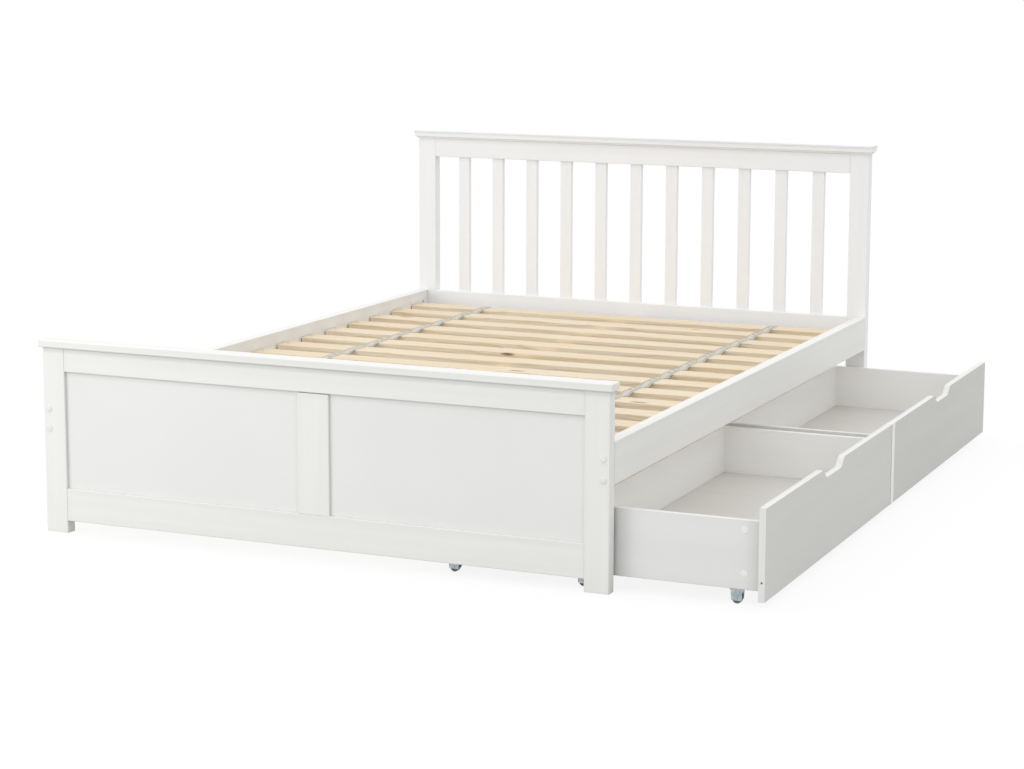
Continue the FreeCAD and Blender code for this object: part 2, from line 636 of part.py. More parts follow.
def head_slats():
    """The upright slats, each with a tenon at both ends."""
    low = ("-head_rail_long / 2 + head_slat_gap", "head_rail_face + head_slat_setback",
           "side_rail_top - tenon_long")
    high = "head_top_rail_low - side_rail_top + 2 * tenon_long"
    body = eased_board("head_slats", low, ("head_slat_wide", "head_slat_thick", high), ALONG_Z)
    repeat(body, "row", [body.Group[1], body.Tip], "X_Axis", "head_slat_pitch", "head_slat_count")


def head_top():
    """The coved strip and the cap board, with the dowels' bores through one and into the other."""
    strip_shift = "moulding_over + head_post_wide", "moulding_over + head_rail_setback"
    low = ("-side_face - moulding_over", "head_front - moulding_over", "head_post_high")
    size = ("bed_width + 2 * moulding_over", "head_post_deep + 2 * moulding_over", "moulding_thick")
    strip = board("head_moulding", low, size)
    cut_round(strip, "long_coves", "X", "0", "bed_width + 2 * moulding_over",
              [("0", "0"), ("head_post_deep + 2 * moulding_over", "0")], "cove_radius")
    cut_round(strip, "end_coves", "Y", "0", "head_post_deep + 2 * moulding_over",
              [("0", "0"), ("bed_width + 2 * moulding_over", "0")], "cove_radius")
    cut_round(strip, "dowels", "Z", "0", "moulding_thick",
              head_quarters(*strip_shift) + head_post_spots("moulding_over"), "dowel_bore")
    low = ("-side_face - head_cap_over", "head_front - head_cap_over", "head_cap_low")
    size = ("bed_width + 2 * head_cap_over", "head_post_deep + 2 * head_cap_over", "head_cap_thick")
    cap = eased_board("head_cap", low, size, lambda edge: True, "head_cap_round")
    cap_shift = "head_cap_over + head_post_wide", "head_cap_over + head_rail_setback"
    cut_round(cap, "dowels", "Z", "0", "head_cap_bite + dowel_end_gap",
              head_quarters(*cap_shift) + head_post_spots("head_cap_over"), "dowel_bore")


def head_post_spots(over):
    """The cap dowels' spots over the two head posts, in a board that overhangs them."""
    deep = "%s + head_post_deep / 2" % over
    return [("%s + head_post_wide / 2" % over, deep), ("%s + bed_width - head_post_wide / 2" % over, deep)]


# ---------------------------------------------------------------- sides and slatted base

def side_rail(name, side):
    """A side rail with bolt bores in its ends, nut bores inside and pilot holes for the ledger."""
    left = side < 0
    low_x = "-side_face" if left else "side_face - side_rail_thick"
    body = eased_board(name, (low_x, "foot_back", "side_rail_low"),
                       ("side_rail_thick", "side_rail_long", "side_rail_high"), ALONG_Y)
    heights = ("bolt_lower", "bolt_upper")
    spots = [("side_rail_thick / 2", up) for up in heights]
    cut_round(body, "foot_bolts", "Y", "0", "bolt_long", spots, "bolt_bore")
    cut_round(body, "head_bolts", "Y", "side_rail_long - bolt_long", "bolt_long", spots, "bolt_bore")
    start = "side_rail_thick - nut_bore_deep" if left else "0"
    nuts = [(far, up) for far in ("nut_inset", "side_rail_long - nut_inset") for up in heights]
    cut_round(body, "nut_bores", "X", start, "nut_bore_deep", nuts, "nut_bore")
    deep = "ledger_screw_long - ledger_wide + screw_head_high + dowel_end_gap"
    start = "side_rail_thick - (%s)" % deep if left else "0"
    cut_round(body, "ledger_screws", "X", start, deep,
              ledger_screw_spots("ledger_short", "ledger_above"), "screw_bore")


def ledger_screw_spots(shift_y, shift_z):
    """The ledger screws' spots, moved by two formulas."""
    spots = []
    for step in range(int(value("ledger_screw_count"))):
        far = "%s + ledger_screw_margin + %d * ledger_screw_pitch" % (shift_y, step)
        spots.append((far, "ledger_screw_high + (%s)" % shift_z))
    return spots


def ledger(name, side):
    """A raw ledger screwed to the inside of a side rail."""
    left = side < 0
    low_x = "-side_face + side_rail_thick" if left else "side_face - side_rail_thick - ledger_wide"
    body = eased_board(name, (low_x, "foot_back + ledger_short", "ledger_low"),
                       ("ledger_wide", "ledger_long", "ledger_high"), ALONG_Y)
    spots = ledger_screw_spots("0", "0")
    cut_round(body, "screws", "X", "0", "ledger_wide", spots, "screw_bore")
    start = "ledger_wide - screw_head_high" if left else "0"
    cut_round(body, "heads", "X", start, "screw_head_high", spots, "screw_head_diameter / 2 + screw_play")


def mid_beam():
    """The beam under the middle of the slats, with pilot holes for the leg's screws."""
    long = "beam_head_end - beam_foot_end"
    body = eased_board("mid_beam", ("-beam_wide / 2", "beam_foot_end", "beam_low"),
                       ("beam_wide", long, "beam_high"), ALONG_Y)
    spots = [("beam_wide / 2", "-beam_foot_end + %s leg_screw_spacing / 2" % sign) for sign in "-+"]
    cut_round(body, "leg_screws", "Z", "0", "bracket_screw_long", spots, "screw_bore")


def bed_slats():
    """The slats that lie across the ledgers and the beam."""
    low = ("-bed_slat_long / 2", "foot_back + ledger_short + bed_slat_margin", "slat_low")
    body = eased_board("bed_slats", low, ("bed_slat_long", "bed_slat_wide", "bed_slat_thick"), ALONG_X)
    repeat(body, "row", [body.Group[1], body.Tip], "Y_Axis", "bed_slat_pitch", "bed_slat_count")


def centre_leg():
    """A steel tube with a plate on top, which props the beam."""
    body = new_body("centre_leg", ("-leg_plate_wide / 2", "-leg_plate_long / 2", "foot_pad_high"))
    middle = ("leg_plate_wide / 2", "leg_plate_long / 2")
    tube = new_sketch(body, "centre_leg_tube", "Z", "0")
    draw_circle(tube, middle, "leg_diameter / 2")
    draw_circle(tube, middle, "leg_diameter / 2 - leg_wall")
    pad(body, tube, "Z", "leg_tube_long")
    plate = new_sketch(body, "centre_leg_plate", "Z", "leg_tube_long")
    draw_outline(plate, rectangle(("0", "0"), ("leg_plate_wide", "leg_plate_long")))
    pad(body, plate, "Z", "leg_plate_thick")
    spots = [("leg_plate_wide / 2", "leg_plate_long / 2 %s leg_screw_spacing / 2" % sign) for sign in "-+"]
    cut_round(body, "screws", "Z", "leg_tube_long", "leg_plate_thick", spots, "screw_bore")


def centre_foot():
    """The plastic foot under the leg, with a spigot in the tube."""
    body = new_body("centre_foot", ("-foot_pad_diameter / 2", "-foot_pad_diameter / 2", "0"))
    middle = ("foot_pad_diameter / 2", "foot_pad_diameter / 2")
    pad_sketch = new_sketch(body, "centre_foot_pad", "Z", "0")
    draw_circle(pad_sketch, middle, "foot_pad_diameter / 2")
    pad(body, pad_sketch, "Z", "foot_pad_high")
    spigot = new_sketch(body, "centre_foot_spigot", "Z", "foot_pad_high")
    draw_circle(spigot, middle, "leg_diameter / 2 - leg_wall - spigot_play")
    pad(body, spigot, "Z", "foot_spigot_high")
    round_edges(body, "round", "edge_round / 2",
                lambda edge: edge.BoundBox.ZMax < value("foot_pad_high") / 2)


def beam_brackets():
    """The two hangers of the beam: a plate with a trough in front of it, at each end."""
    wide = value("bracket_wide")
    steel = value("bracket_plate")
    long = value("bracket_long")
    high = value("beam_high") + steel
    outer = Part.makeBox(wide, long, high, Vector(-wide / 2, 0, 0))
    hollow = Part.makeBox(wide - 2 * steel, long, high, Vector(-wide / 2 + steel, steel, steel))
    bracket = outer.cut(hollow)
    lower = value("bracket_screw_low") - value("bracket_low")
    for rise in (lower, lower + value("bracket_screw_spacing")):
        bracket = bracket.cut(rod(Vector(0, 0, rise), Vector(0, 1, 0), steel, value("screw_bore")))
    at_foot = bracket.translated(Vector(0, value("foot_plate_face"), value("bracket_low")))
    turned = bracket.mirror(Vector(0, 0, 0), Vector(0, 1, 0))
    at_head = turned.translated(Vector(0, value("head_rail_face"), value("bracket_low")))
    group("beam_brackets", [at_foot, at_head])


# ---------------------------------------------------------------- fasteners

def both_ends():
    """The outer face of each end of the bed, the direction into it, and the side rails' end there."""
    return [(value("foot_face"), 1, value("foot_back")), (value("head_face"), -1, value("head_front"))]


def bolt_spots():
    """Each rail bolt's place across the bed and above the floor."""
    line = value("bolt_line")
    heights = [value("side_rail_low") + value(name) for name in ("bolt_lower", "bolt_upper")]
    return [(across, up) for across in (-line, line) for up in heights]


def rail_fixings():
    """Rail bolts, the barrel nuts that they turn into, and the covers over their heads."""
    bolts = []
    nuts = []
    caps = []
    recess = value("counterbore_deep")
    head = value("bolt_head_high")
    for face, inwards, rail_end in both_ends():
        into = Vector(0, inwards, 0)
        for across, up in bolt_spots():
            seat = Vector(across, face + inwards * recess, up)
            shank = rod(seat, into, value("bolt_long"), value("bolt_diameter") / 2)
            bolts.append(shank.fuse(rod(seat - into * head, into, head, value("bolt_head_diameter") / 2)))
            middle = Vector(across, rail_end + inwards * value("nut_inset"), up)
            nut = rod(middle - Vector(value("nut_long") / 2, 0, 0), Vector(1, 0, 0), value("nut_long"),
                      value("nut_diameter") / 2)
            thread = value("bolt_diameter") / 2 + value("thread_play")
            reach = value("nut_diameter")
            nuts.append(nut.cut(rod(middle - into * reach, into, 2 * reach, thread)))
            front = Vector(across, face, up)
            cover = rod(front - into * value("bolt_cap_thick"), into, value("bolt_cap_thick"),
                        value("bolt_cap_diameter") / 2)
            plug = value("counterbore_diameter") / 2 - value("plug_play")
            caps.append(cover.fuse(rod(front, into, value("bolt_cap_plug"), plug)))
    group("rail_bolts", bolts)
    group("barrel_nuts", nuts)
    group("bolt_caps", caps)


def rail_dowels(half_inner, deep, heights):
    """Level dowels that cross both ends of a rail."""
    long = value("dowel_long")
    radius = value("dowel_diameter") / 2
    starts = [Vector(side * half_inner - long / 2, deep, up) for side in (-1, 1) for up in heights]
    return [rod(start, Vector(1, 0, 0), long, radius) for start in starts]


def cap_dowels(spots, low):
    """Upright dowels from a height at several spots."""
    long = value("dowel_long")
    radius = value("dowel_diameter") / 2
    return [rod(Vector(across, deep, low), Vector(0, 0, 1), long, radius) for across, deep in spots]


def dowels():
    """All the dowels of the bed."""
    margin = value("dowel_margin")
    foot_deep = value("foot_rail_face") + value("foot_rail_thick") / 2
    head_deep = value("head_rail_face") + value("head_rail_thick") / 2
    foot_half = value("foot_rail_long") / 2
    head_half = value("head_rail_long") / 2
    foot_heights = [value("foot_bottom_rail_low") + margin, value("foot_bottom_rail_top") - margin,
                    value("foot_top_rail_low") + margin, value("foot_post_high") - margin]
    head_heights = [value("side_rail_low") + margin, value("side_rail_top") - margin,
                    value("head_top_rail_low") + margin, value("head_post_high") - margin]
    solids = rail_dowels(foot_half, foot_deep, foot_heights)
    solids += rail_dowels(head_half, head_deep, head_heights)
    foot_post_line = value("side_face") - value("foot_post_wide") / 2
    head_post_line = value("side_face") - value("head_post_wide") / 2
    foot_spots = [(foot_half * (quarter / 2 - 1), foot_deep) for quarter in QUARTERS]
    post_deep = value("foot_face") + value("foot_post_deep") / 2
    foot_spots += [(side * foot_post_line, post_deep) for side in (-1, 1)]
    gaps = [int((value("head_slat_count") + 1) * quarter / 4) for quarter in QUARTERS]
    first = -head_half + value("head_slat_gap") / 2
    head_spots = [(first + value("head_slat_pitch") * gap, head_deep) for gap in gaps]
    post_deep = value("head_front") + value("head_post_deep") / 2
    head_spots += [(side * head_post_line, post_deep) for side in (-1, 1)]
    solids += cap_dowels(foot_spots, value("foot_post_high") - value("foot_cap_root"))
    solids += cap_dowels(head_spots, value("head_post_high") - value("head_cap_root"))
    group("dowels", solids)


def screw(seat, into, long):
    """A wood screw with its head on a seat, driven along a direction."""
    head = value("screw_head_high")
    shank = rod(seat, into, long, value("screw_diameter") / 2)
    return shank.fuse(rod(seat - into * head, into, head, value("screw_head_diameter") / 2))


def screws():
    """The ledger screws, and the shorter screws of the brackets and of the leg."""
    inner = value("side_face") - value("side_rail_thick") - value("ledger_wide") + value("screw_head_high")
    long = value("ledger_screw_long")
    first = value("foot_back") + value("ledger_short") + value("ledger_screw_margin")
    up = value("ledger_low") + value("ledger_screw_high")
    count = int(value("ledger_screw_count"))
    runs = [first + step * value("ledger_screw_pitch") for step in range(count)]
    group("ledger_screws", [screw(Vector(side * inner, far, up), Vector(side, 0, 0), long)
                            for side in (-1, 1) for far in runs])
    short = value("bracket_screw_long")
    steel = value("bracket_plate")
    low = value("bracket_screw_low")
    solids = []
    for up in (low, low + value("bracket_screw_spacing")):
        solids.append(screw(Vector(0, value("foot_plate_face") + steel, up), Vector(0, -1, 0), short))
        solids.append(screw(Vector(0, value("head_rail_face") - steel, up), Vector(0, 1, 0), short))
    for side in (-1, 1):
        seat = Vector(0, side * value("leg_screw_spacing") / 2, value("leg_plate_low"))
        solids.append(screw(seat, Vector(0, 0, 1), short))
    group("bracket_screws", solids)


# ---------------------------------------------------------------- drawers

def drawer_front(name, low_y, box_low):
    """A drawer front with a finger notch in its top edge and a groove for the bottom."""
    body = new_body(name + "_front", ("front_back", low_y, "front_low"))
    sketch = new_sketch(body, name + "_front_outline", "X", "0")
    middle = "front_long / 2 - notch_offset"
    deep = "front_high - notch_deep"
    draw_outline(sketch, [
        ("0", "0"), ("front_long", "0"), ("front_long", "front_high"),
        (middle + " + notch_wide / 2", "front_high"), (middle + " + notch_wide / 2 - notch_slope", deep),
        (middle + " - notch_wide / 2 + notch_slope", deep), (middle + " - notch_wide / 2", "front_high"),
        ("0", "front_high"),
    ])
    pad(body, sketch, "X", "front_thick")
    reach = value("notch_wide") / 2 + 1
    line = value("front_long") / 2 - value("notch_offset")
    round_edges(body, "notch_curves", "notch_round",
                lambda edge: ALONG_X(edge) and abs(edge.BoundBox.Center.y - line) < reach)
    round_edges(body, "round", "front_round", lambda edge: not ALONG_X(edge))
    cut_box(body, "groove", ("0", "%s - (%s)" % (box_low, low_y), "groove_low - front_low"),
            ("bottom_groove", "box_long", "groove_high"))
    spots = [("front_thick / 2", "edge_hole_high")]
    cut_round(body, "near_hole", "Y", "0", "edge_hole_deep", spots, "edge_hole_diameter / 2")
    cut_round(body, "far_hole", "Y", "front_long - edge_hole_deep", "edge_hole_deep", spots,
              "edge_hole_diameter / 2")


def drawer_side(name, low_y, outside_low):
    """A drawer side. outside_low tells that its outer face is the one at the low end of Y."""
    body = eased_board(name, ("box_rear", low_y, "side_low"), ("box_deep", "side_thick", "side_high"),
                       ALONG_X, "front_round")
    inner = "side_thick - bottom_groove" if outside_low else "0"
    cut_box(body, "groove", ("0", inner, "groove_low - side_low"),
            ("box_deep", "bottom_groove", "groove_high"))
    outer = "0" if outside_low else "side_thick - cam_bore_deep"
    spots = [("box_deep - cam_back", "cam_lower"), ("box_deep - cam_back", "cam_upper")]
    cut_round(body, "cams", "Y", outer, "cam_bore_deep", spots, "cam_bore_diameter / 2")


def drawer_boards(name, box_low):
    """The back, the divider and the bottom of a drawer."""
    inside = "%s + side_thick" % box_low
    back = eased_board(name + "_back", ("box_rear", inside, "side_low"),
                       ("side_thick", "inside_long", "side_high"), ALONG_Y, "front_round")
    cut_box(back, "groove", ("side_thick - bottom_groove", "0", "groove_low - side_low"),
            ("bottom_groove", "inside_long", "groove_high"))
    eased_board(name + "_divider", ("front_back - divider_back - side_thick", inside, "divider_low"),
                ("side_thick", "inside_long", "divider_high"), ALONG_Y, "front_round")
    board(name + "_bottom",
          ("box_rear + side_thick - bottom_tongue", "%s - bottom_tongue" % inside, "bottom_low"),
          ("inside_deep + 2 * bottom_tongue", "inside_long + 2 * bottom_tongue", "bottom_thick"))


def castor_cheek(start):
    """One cheek of a housing, from a distance along the axle: narrower and rounded at its lower edge."""
    high = value("batten_low") - value("fork_steel")
    low = value("axle_height") - value("cheek_below_axle")
    half_top = value("cheek_top_wide") / 2
    half_low = value("cheek_low_wide") / 2
    corners = [Vector(-half_top, start, high), Vector(half_top, start, high), Vector(half_low, start, low),
               Vector(-half_low, start, low), Vector(-half_top, start, high)]
    cheek = Part.Face(Part.makePolygon(corners)).extrude(Vector(0, value("fork_steel"), 0))
    lower = [edge for edge in cheek.Edges if ALONG_Y(edge) and edge.BoundBox.Center.z < low + 1]
    return cheek.makeFillet(value("cheek_round"), lower)


def castor_fork():
    """A pressed steel housing with two cheeks, standing over the floor point below its axle."""
    steel = value("fork_steel")
    long = value("fork_plate_long")
    wide = value("fork_plate_wide")
    corner = Vector(-long / 2, -wide / 2, value("batten_low") - steel)
    fork = Part.makeBox(long, wide, steel, corner)
    for start in (value("cheek_offset"), -value("cheek_offset") - steel):
        fork = fork.fuse(castor_cheek(start))
    start = Vector(0, -wide, value("axle_height"))
    bore = rod(start, Vector(0, 1, 0), 2 * wide, value("axle_bore"))
    return fork.cut(bore).removeSplitter()


def castor_axle():
    """A riveted pin through both cheeks and the wheel."""
    axle = value("axle_height")
    reach = value("cheek_offset") + value("fork_steel")
    pin = rod(Vector(0, -reach, axle), Vector(0, 1, 0), 2 * reach, value("axle_diameter") / 2)
    head = value("rivet_head_thick")
    for start in (-reach - head, reach):
        pin = pin.fuse(rod(Vector(0, start, axle), Vector(0, 1, 0), head, value("rivet_head_diameter") / 2))
    return pin


def castor_wheel(name, across, deep):
    """A moulded wheel, turned about its axle: a rim, a hollow in each flank and a hub."""
    body = new_body(name, (across, "%s - wheel_wide / 2" % deep, "axle_height"))
    sketch = new_sketch(body, name + "_profile", "Z", "0")
    hub = "axle_bore + hub_wall"
    rim = "wheel_diameter / 2 - tyre_wall"
    radius = "wheel_diameter / 2"
    soft = "edge_round / 2"
    draw_outline(sketch, [
        ("axle_bore", "0"), (hub, "0"), (hub, "wheel_groove"), (rim, "wheel_groove"), (rim, "0"),
        ("%s - %s" % (radius, soft), "0"), (radius, soft), (radius, "wheel_wide - %s" % soft),
        ("%s - %s" % (radius, soft), "wheel_wide"), (rim, "wheel_wide"), (rim, "wheel_wide - wheel_groove"),
        (hub, "wheel_wide - wheel_groove"), (hub, "wheel_wide"), ("axle_bore", "wheel_wide"),
    ])
    turned = body.newObject("PartDesign::Revolution", name + "_turned")
    turned.Profile = sketch
    turned.ReferenceAxis = (sketch, ["V_Axis"])
    turned.Angle = 360


def drawer_castors(name, box_low):
    """The castor housings with their axles as one group, and each wheel by itself."""
    fork = castor_fork()
    axle = castor_axle()
    solids = []
    for row in ("front", "middle", "rear"):
        for end, line in (("a", "castor_near"), ("b", "castor_far")):
            place = Vector(value("castor_" + row), value(box_low) + value(line), 0)
            solids += [fork.translated(place), axle.translated(place)]
            castor_wheel("%s_%s_wheel_%s" % (name, row, end), "castor_" + row, "%s + %s" % (box_low, line))
    group(name + "_castor_mounts", solids)


def drawer_battens(name, box_low):
    """The three battens under a drawer's bottom, one over each row of castors."""
    wide = value("batten_wide")
    start = value(box_low) + value("side_thick")
    solids = []
    for row in ("castor_front", "castor_middle", "castor_rear"):
        corner = Vector(value(row) - wide / 2, start, value("batten_low"))
        solids.append(Part.makeBox(wide, value("inside_long"), value("batten_high"), corner))
    group(name + "_battens", solids)


def drawer_cam_caps(name, box_low):
    """The round covers of the cam locks, two on the outside of each drawer side."""
    solids = []
    across = value("front_back") - value("cam_back")
    start = value(box_low)
    cover_thick = value("cam_cap_thick")
    for face, into in ((start, Vector(0, 1, 0)), (start + value("box_long"), Vector(0, -1, 0))):
        for rise in ("cam_lower", "cam_upper"):
            spot = Vector(across, face, value("side_low") + value(rise))
            cover = rod(spot - into * cover_thick, into, cover_thick, value("cam_cap_diameter") / 2)
            plug_radius = value("cam_bore_diameter") / 2 - value("plug_play")
            plug = rod(spot, into, value("cam_cap_plug"), plug_radius)
            solids.append(cover.fuse(plug))
    group(name + "_cam_caps", solids)


def drawer(name, front_low, box_low):
    """One drawer, from the low ends of its front and its box. Side a is towards the foot of the bed."""
    drawer_front(name, front_low, box_low)
    drawer_side(name + "_side_a", box_low, True)
    drawer_side(name + "_side_b", box_low + " + box_long - side_thick", False)
    drawer_boards(name, box_low)
    drawer_battens(name, box_low)
    drawer_castors(name, box_low)
    drawer_cam_caps(name, box_low)


# ---------------------------------------------------------------- the whole bed

for side_name, side_sign in (("left", -1), ("right", 1)):
    foot_post("foot_post_" + side_name, side_sign)
    head_post("head_post_" + side_name, side_sign)
    side_rail("side_rail_" + side_name, side_sign)
    ledger("ledger_" + side_name, side_sign)
foot_rails()
foot_muntin()
foot_panels()
foot_cap()
head_rails()
head_slats()
head_top()
mid_beam()
bed_slats()
beam_brackets()
centre_leg()
centre_foot()
rail_fixings()
dowels()
screws()
for drawer_name in ("foot", "head"):
    drawer(drawer_name + "_drawer", drawer_name + "_front_low", drawer_name + "_box_low")

doc.recompute()

failed = [thing.Name for thing in doc.Objects if {"Invalid", "Error"} & set(thing.State)]
if failed:
    raise RuntimeError("these objects failed: " + ", ".join(failed))
for part in parts:
    if part.Shape.isNull() or not part.Shape.isValid() or not part.Shape.Solids:
        raise RuntimeError("no valid solid: " + part.Label)

os.makedirs("parts", exist_ok=True)
for part in parts:
    part.Shape.exportStep("parts/%s.step" % part.Label)
print("%d sub-parts written" % len(parts))
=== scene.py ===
"""Dresses a white painted wooden double bed frame with two drawers that roll on castors.

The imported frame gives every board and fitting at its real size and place. This script finishes each of them
and adds what joinery drawings leave out: recessed screws, woven slat tapes with their staples, domed
covers, pressed castor webs and ribbed wheels. Everything is in metres, in the frame's own axes: X across
the bed towards the drawers' side, Y from the foot end to the head end, Z up.
"""

import logging
import math
from dataclasses import dataclass
from enum import Enum

import bmesh
import bpy
import numpy as np
from mathutils import Matrix, Vector

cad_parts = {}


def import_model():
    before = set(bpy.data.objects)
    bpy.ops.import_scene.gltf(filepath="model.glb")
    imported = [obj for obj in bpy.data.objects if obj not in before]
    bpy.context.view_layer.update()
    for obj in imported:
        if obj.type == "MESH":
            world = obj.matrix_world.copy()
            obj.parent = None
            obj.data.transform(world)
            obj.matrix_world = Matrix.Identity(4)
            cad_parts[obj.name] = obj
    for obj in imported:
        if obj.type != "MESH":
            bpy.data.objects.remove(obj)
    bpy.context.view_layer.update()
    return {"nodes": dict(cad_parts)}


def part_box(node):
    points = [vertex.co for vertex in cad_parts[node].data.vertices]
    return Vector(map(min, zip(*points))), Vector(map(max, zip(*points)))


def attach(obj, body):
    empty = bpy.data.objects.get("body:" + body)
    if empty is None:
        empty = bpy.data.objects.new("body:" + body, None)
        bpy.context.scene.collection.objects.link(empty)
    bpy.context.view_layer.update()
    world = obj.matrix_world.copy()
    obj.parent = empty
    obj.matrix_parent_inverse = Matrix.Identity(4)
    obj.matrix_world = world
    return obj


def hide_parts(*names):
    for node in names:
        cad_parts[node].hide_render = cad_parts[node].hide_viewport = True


LOG = logging.getLogger("bed_frame")
MM = 0.001
TAU = 2 * math.pi
WHITE = (1.0, 1.0, 1.0, 1.0)
UP = np.array([0.0, 0.0, 1.0])
ALONG = np.array([0.0, 1.0, 0.0])
ACROSS = np.array([1.0, 0.0, 0.0])

# Points this close become one, and edges shorter than the second length are dropped.
MERGED_WITHIN, DROPPED_WITHIN = 2e-6, 1e-7
SMOOTH_UP_TO = math.radians(40)

# Inputs of a Mix node that blends two colours.
MIX_FACTOR, MIX_A, MIX_B = 0, 6, 7

Inputs = dict[str | int, object]
Feed = bpy.types.Node | bpy.types.NodeSocket


class Axis(Enum):
    """One of the frame's axes: the way that fibres, pores or brush lines run on a board, or its thickness."""

    X = 0
    Y = 1
    Z = 2


# ------------------------------------------------------------------------------------ material kit


def linear(hex_colour: str) -> tuple[float, float, float, float]:
    """Turns an sRGB hex colour into linear RGBA.

    A share up to 0.04045 is divided by 12.92. A larger one gets 0.055 added, is divided by 1.055 and raised
    to the power 2.4.

    Args:
        hex_colour: six hex digits.

    Returns:
        The linear colour with an alpha of 1.
    """
    shares = [int(hex_colour[place:place + 2], 16) / 255 for place in (0, 2, 4)]
    red, green, blue = [
        share / 12.92 if share <= 0.04045 else ((share + 0.055) / 1.055) ** 2.4 for share in shares
    ]
    return red, green, blue, 1.0


def wire(tree: bpy.types.NodeTree, node: bpy.types.Node, inputs: Inputs) -> None:
    """Sets a node's inputs, or feeds them from other nodes.

    Args:
        tree: the node tree.
        node: the node whose inputs they are.
        inputs: input name or index to a value, to the output socket that feeds it, or to a node whose first
            output in use feeds it.
    """
    for key, given in inputs.items():
        if isinstance(given, bpy.types.Node):
            given = next(output for output in given.outputs if output.enabled)
        if isinstance(given, bpy.types.NodeSocket):
            tree.links.new(given, node.inputs[key])
        else:
            node.inputs[key].default_value = given


def add(tree: bpy.types.NodeTree, kind: str, inputs: Inputs | None = None, **settings: object
        ) -> bpy.types.Node:
    """Adds one node to a tree.

    Args:
        tree: the node tree.
        kind: the node's type name.
        inputs: what its inputs get, as in wire.
        **settings: the node's own properties.

    Returns:
        The new node.
    """
    node = tree.nodes.new(kind)
    for name, setting in settings.items():
        setattr(node, name, setting)
    wire(tree, node, inputs or {})
    return node


def blank(name: str) -> tuple[bpy.types.Material, bpy.types.NodeTree, bpy.types.Node]:
    """Starts a material.

    Args:
        name: the material's name.

    Returns:
        The material, its node tree and its Principled shader.
    """
    material = bpy.data.materials.new(name)
    material.use_nodes = True
    tree = material.node_tree
    return material, tree, tree.nodes["Principled BSDF"]


@dataclass(frozen=True)
class Coat:
    """A colour laid over those beneath it, as far as a pattern brings it out.

    The colour is hex, or the node that gives one. Its share rises from 0, where the pattern is at the
    start, to its greatest where the pattern is at the end.
    """

    colour: str | bpy.types.Node
    pattern: Feed
    start: float = 0.0
    end: float = 1.0
    share: float = 1.0


def layered(tree: bpy.types.NodeTree, base: str, coats: list[Coat]) -> bpy.types.Node:
    """Lays coats of colour over a base colour, in their order.

    Args:
        tree: the node tree.
        base: the lowest colour, in hex.
        coats: what lies over it, from the lowest up.

    Returns:
        The node that gives the colour on top.
    """
    tone: object = linear(base)
    for coat in coats:
        share = add(tree, "ShaderNodeMapRange", {
            "Value": coat.pattern, "From Min": coat.start, "From Max": coat.end, "To Max": coat.share,
        })
        colour = linear(coat.colour) if isinstance(coat.colour, str) else coat.colour
        tone = add(tree, "ShaderNodeMix", {MIX_FACTOR: share, MIX_A: tone, MIX_B: colour}, data_type="RGBA")
    return tone


def axial(axis: Axis, along: float, across: float) -> list[float]:
    """A vector with one value along an axis and another across it."""
    return [along if other is axis else across for other in Axis]


def stretched(tree: bpy.types.NodeTree, along: Axis, across_mm: float, along_mm: float,
              place: Feed | None = None) -> bpy.types.Node:
    """Measures coordinates in pattern lengths.

    One unit is along_mm in the direction of the fibres and across_mm in the other two.

    Args:
        tree: the node tree.
        along: the direction of the fibres.
        across_mm: the pattern's size across them.
        along_mm: the pattern's size along them.
        place: coordinates in metres, or none for the object's own.

    Returns:
        The node that gives the scaled coordinates.
    """
    return add(tree, "ShaderNodeMapping", {
        "Vector": place or add(tree, "ShaderNodeTexCoord").outputs["Object"],
        "Scale": axial(along, 1000 / along_mm, 1000 / across_mm),
    })


def waffle(tree: bpy.types.NodeTree, apart: bpy.types.Node, pitch_mm: float) -> bpy.types.Node:
    """Crosses two waves: the product of one sine of X and one of Y, each a whole turn in a pitch.

    Args:
        tree: the node tree.
        apart: the node that gives X and Y, in metres.
        pitch_mm: from one crest to the next.

    Returns:
        The node that gives the product.
    """
    waves = []
    for name in ("X", "Y"):
        turned_by = add(tree, "ShaderNodeMath", {0: apart.outputs[name], 1: TAU / (pitch_mm * MM)},
                        operation="MULTIPLY")
        waves.append(add(tree, "ShaderNodeMath", {0: turned_by}, operation="SINE"))
    return add(tree, "ShaderNodeMath", {0: waves[0], 1: waves[1]}, operation="MULTIPLY")


def edge_share(tree: bpy.types.NodeTree, radius_mm: float) -> bpy.types.Node:
    """Shows how close a point is to a sharp edge.

    The share is one minus the cosine between the true normal and the normal averaged over the radius,
    stretched so that a square edge gets 1.

    Args:
        tree: the node tree.
        radius_mm: how far an edge reaches.

    Returns:
        The node that gives 0 on a flat to 1 on an edge.
    """
    soft = add(tree, "ShaderNodeBevel", {"Radius": radius_mm * MM}, samples=4)
    true = add(tree, "ShaderNodeNewGeometry").outputs["Normal"]
    cosine = add(tree, "ShaderNodeVectorMath", {0: soft, 1: true}, operation="DOT_PRODUCT")
    return add(tree, "ShaderNodeMapRange", {"Value": cosine, "From Min": 0.995, "From Max": 0.86})


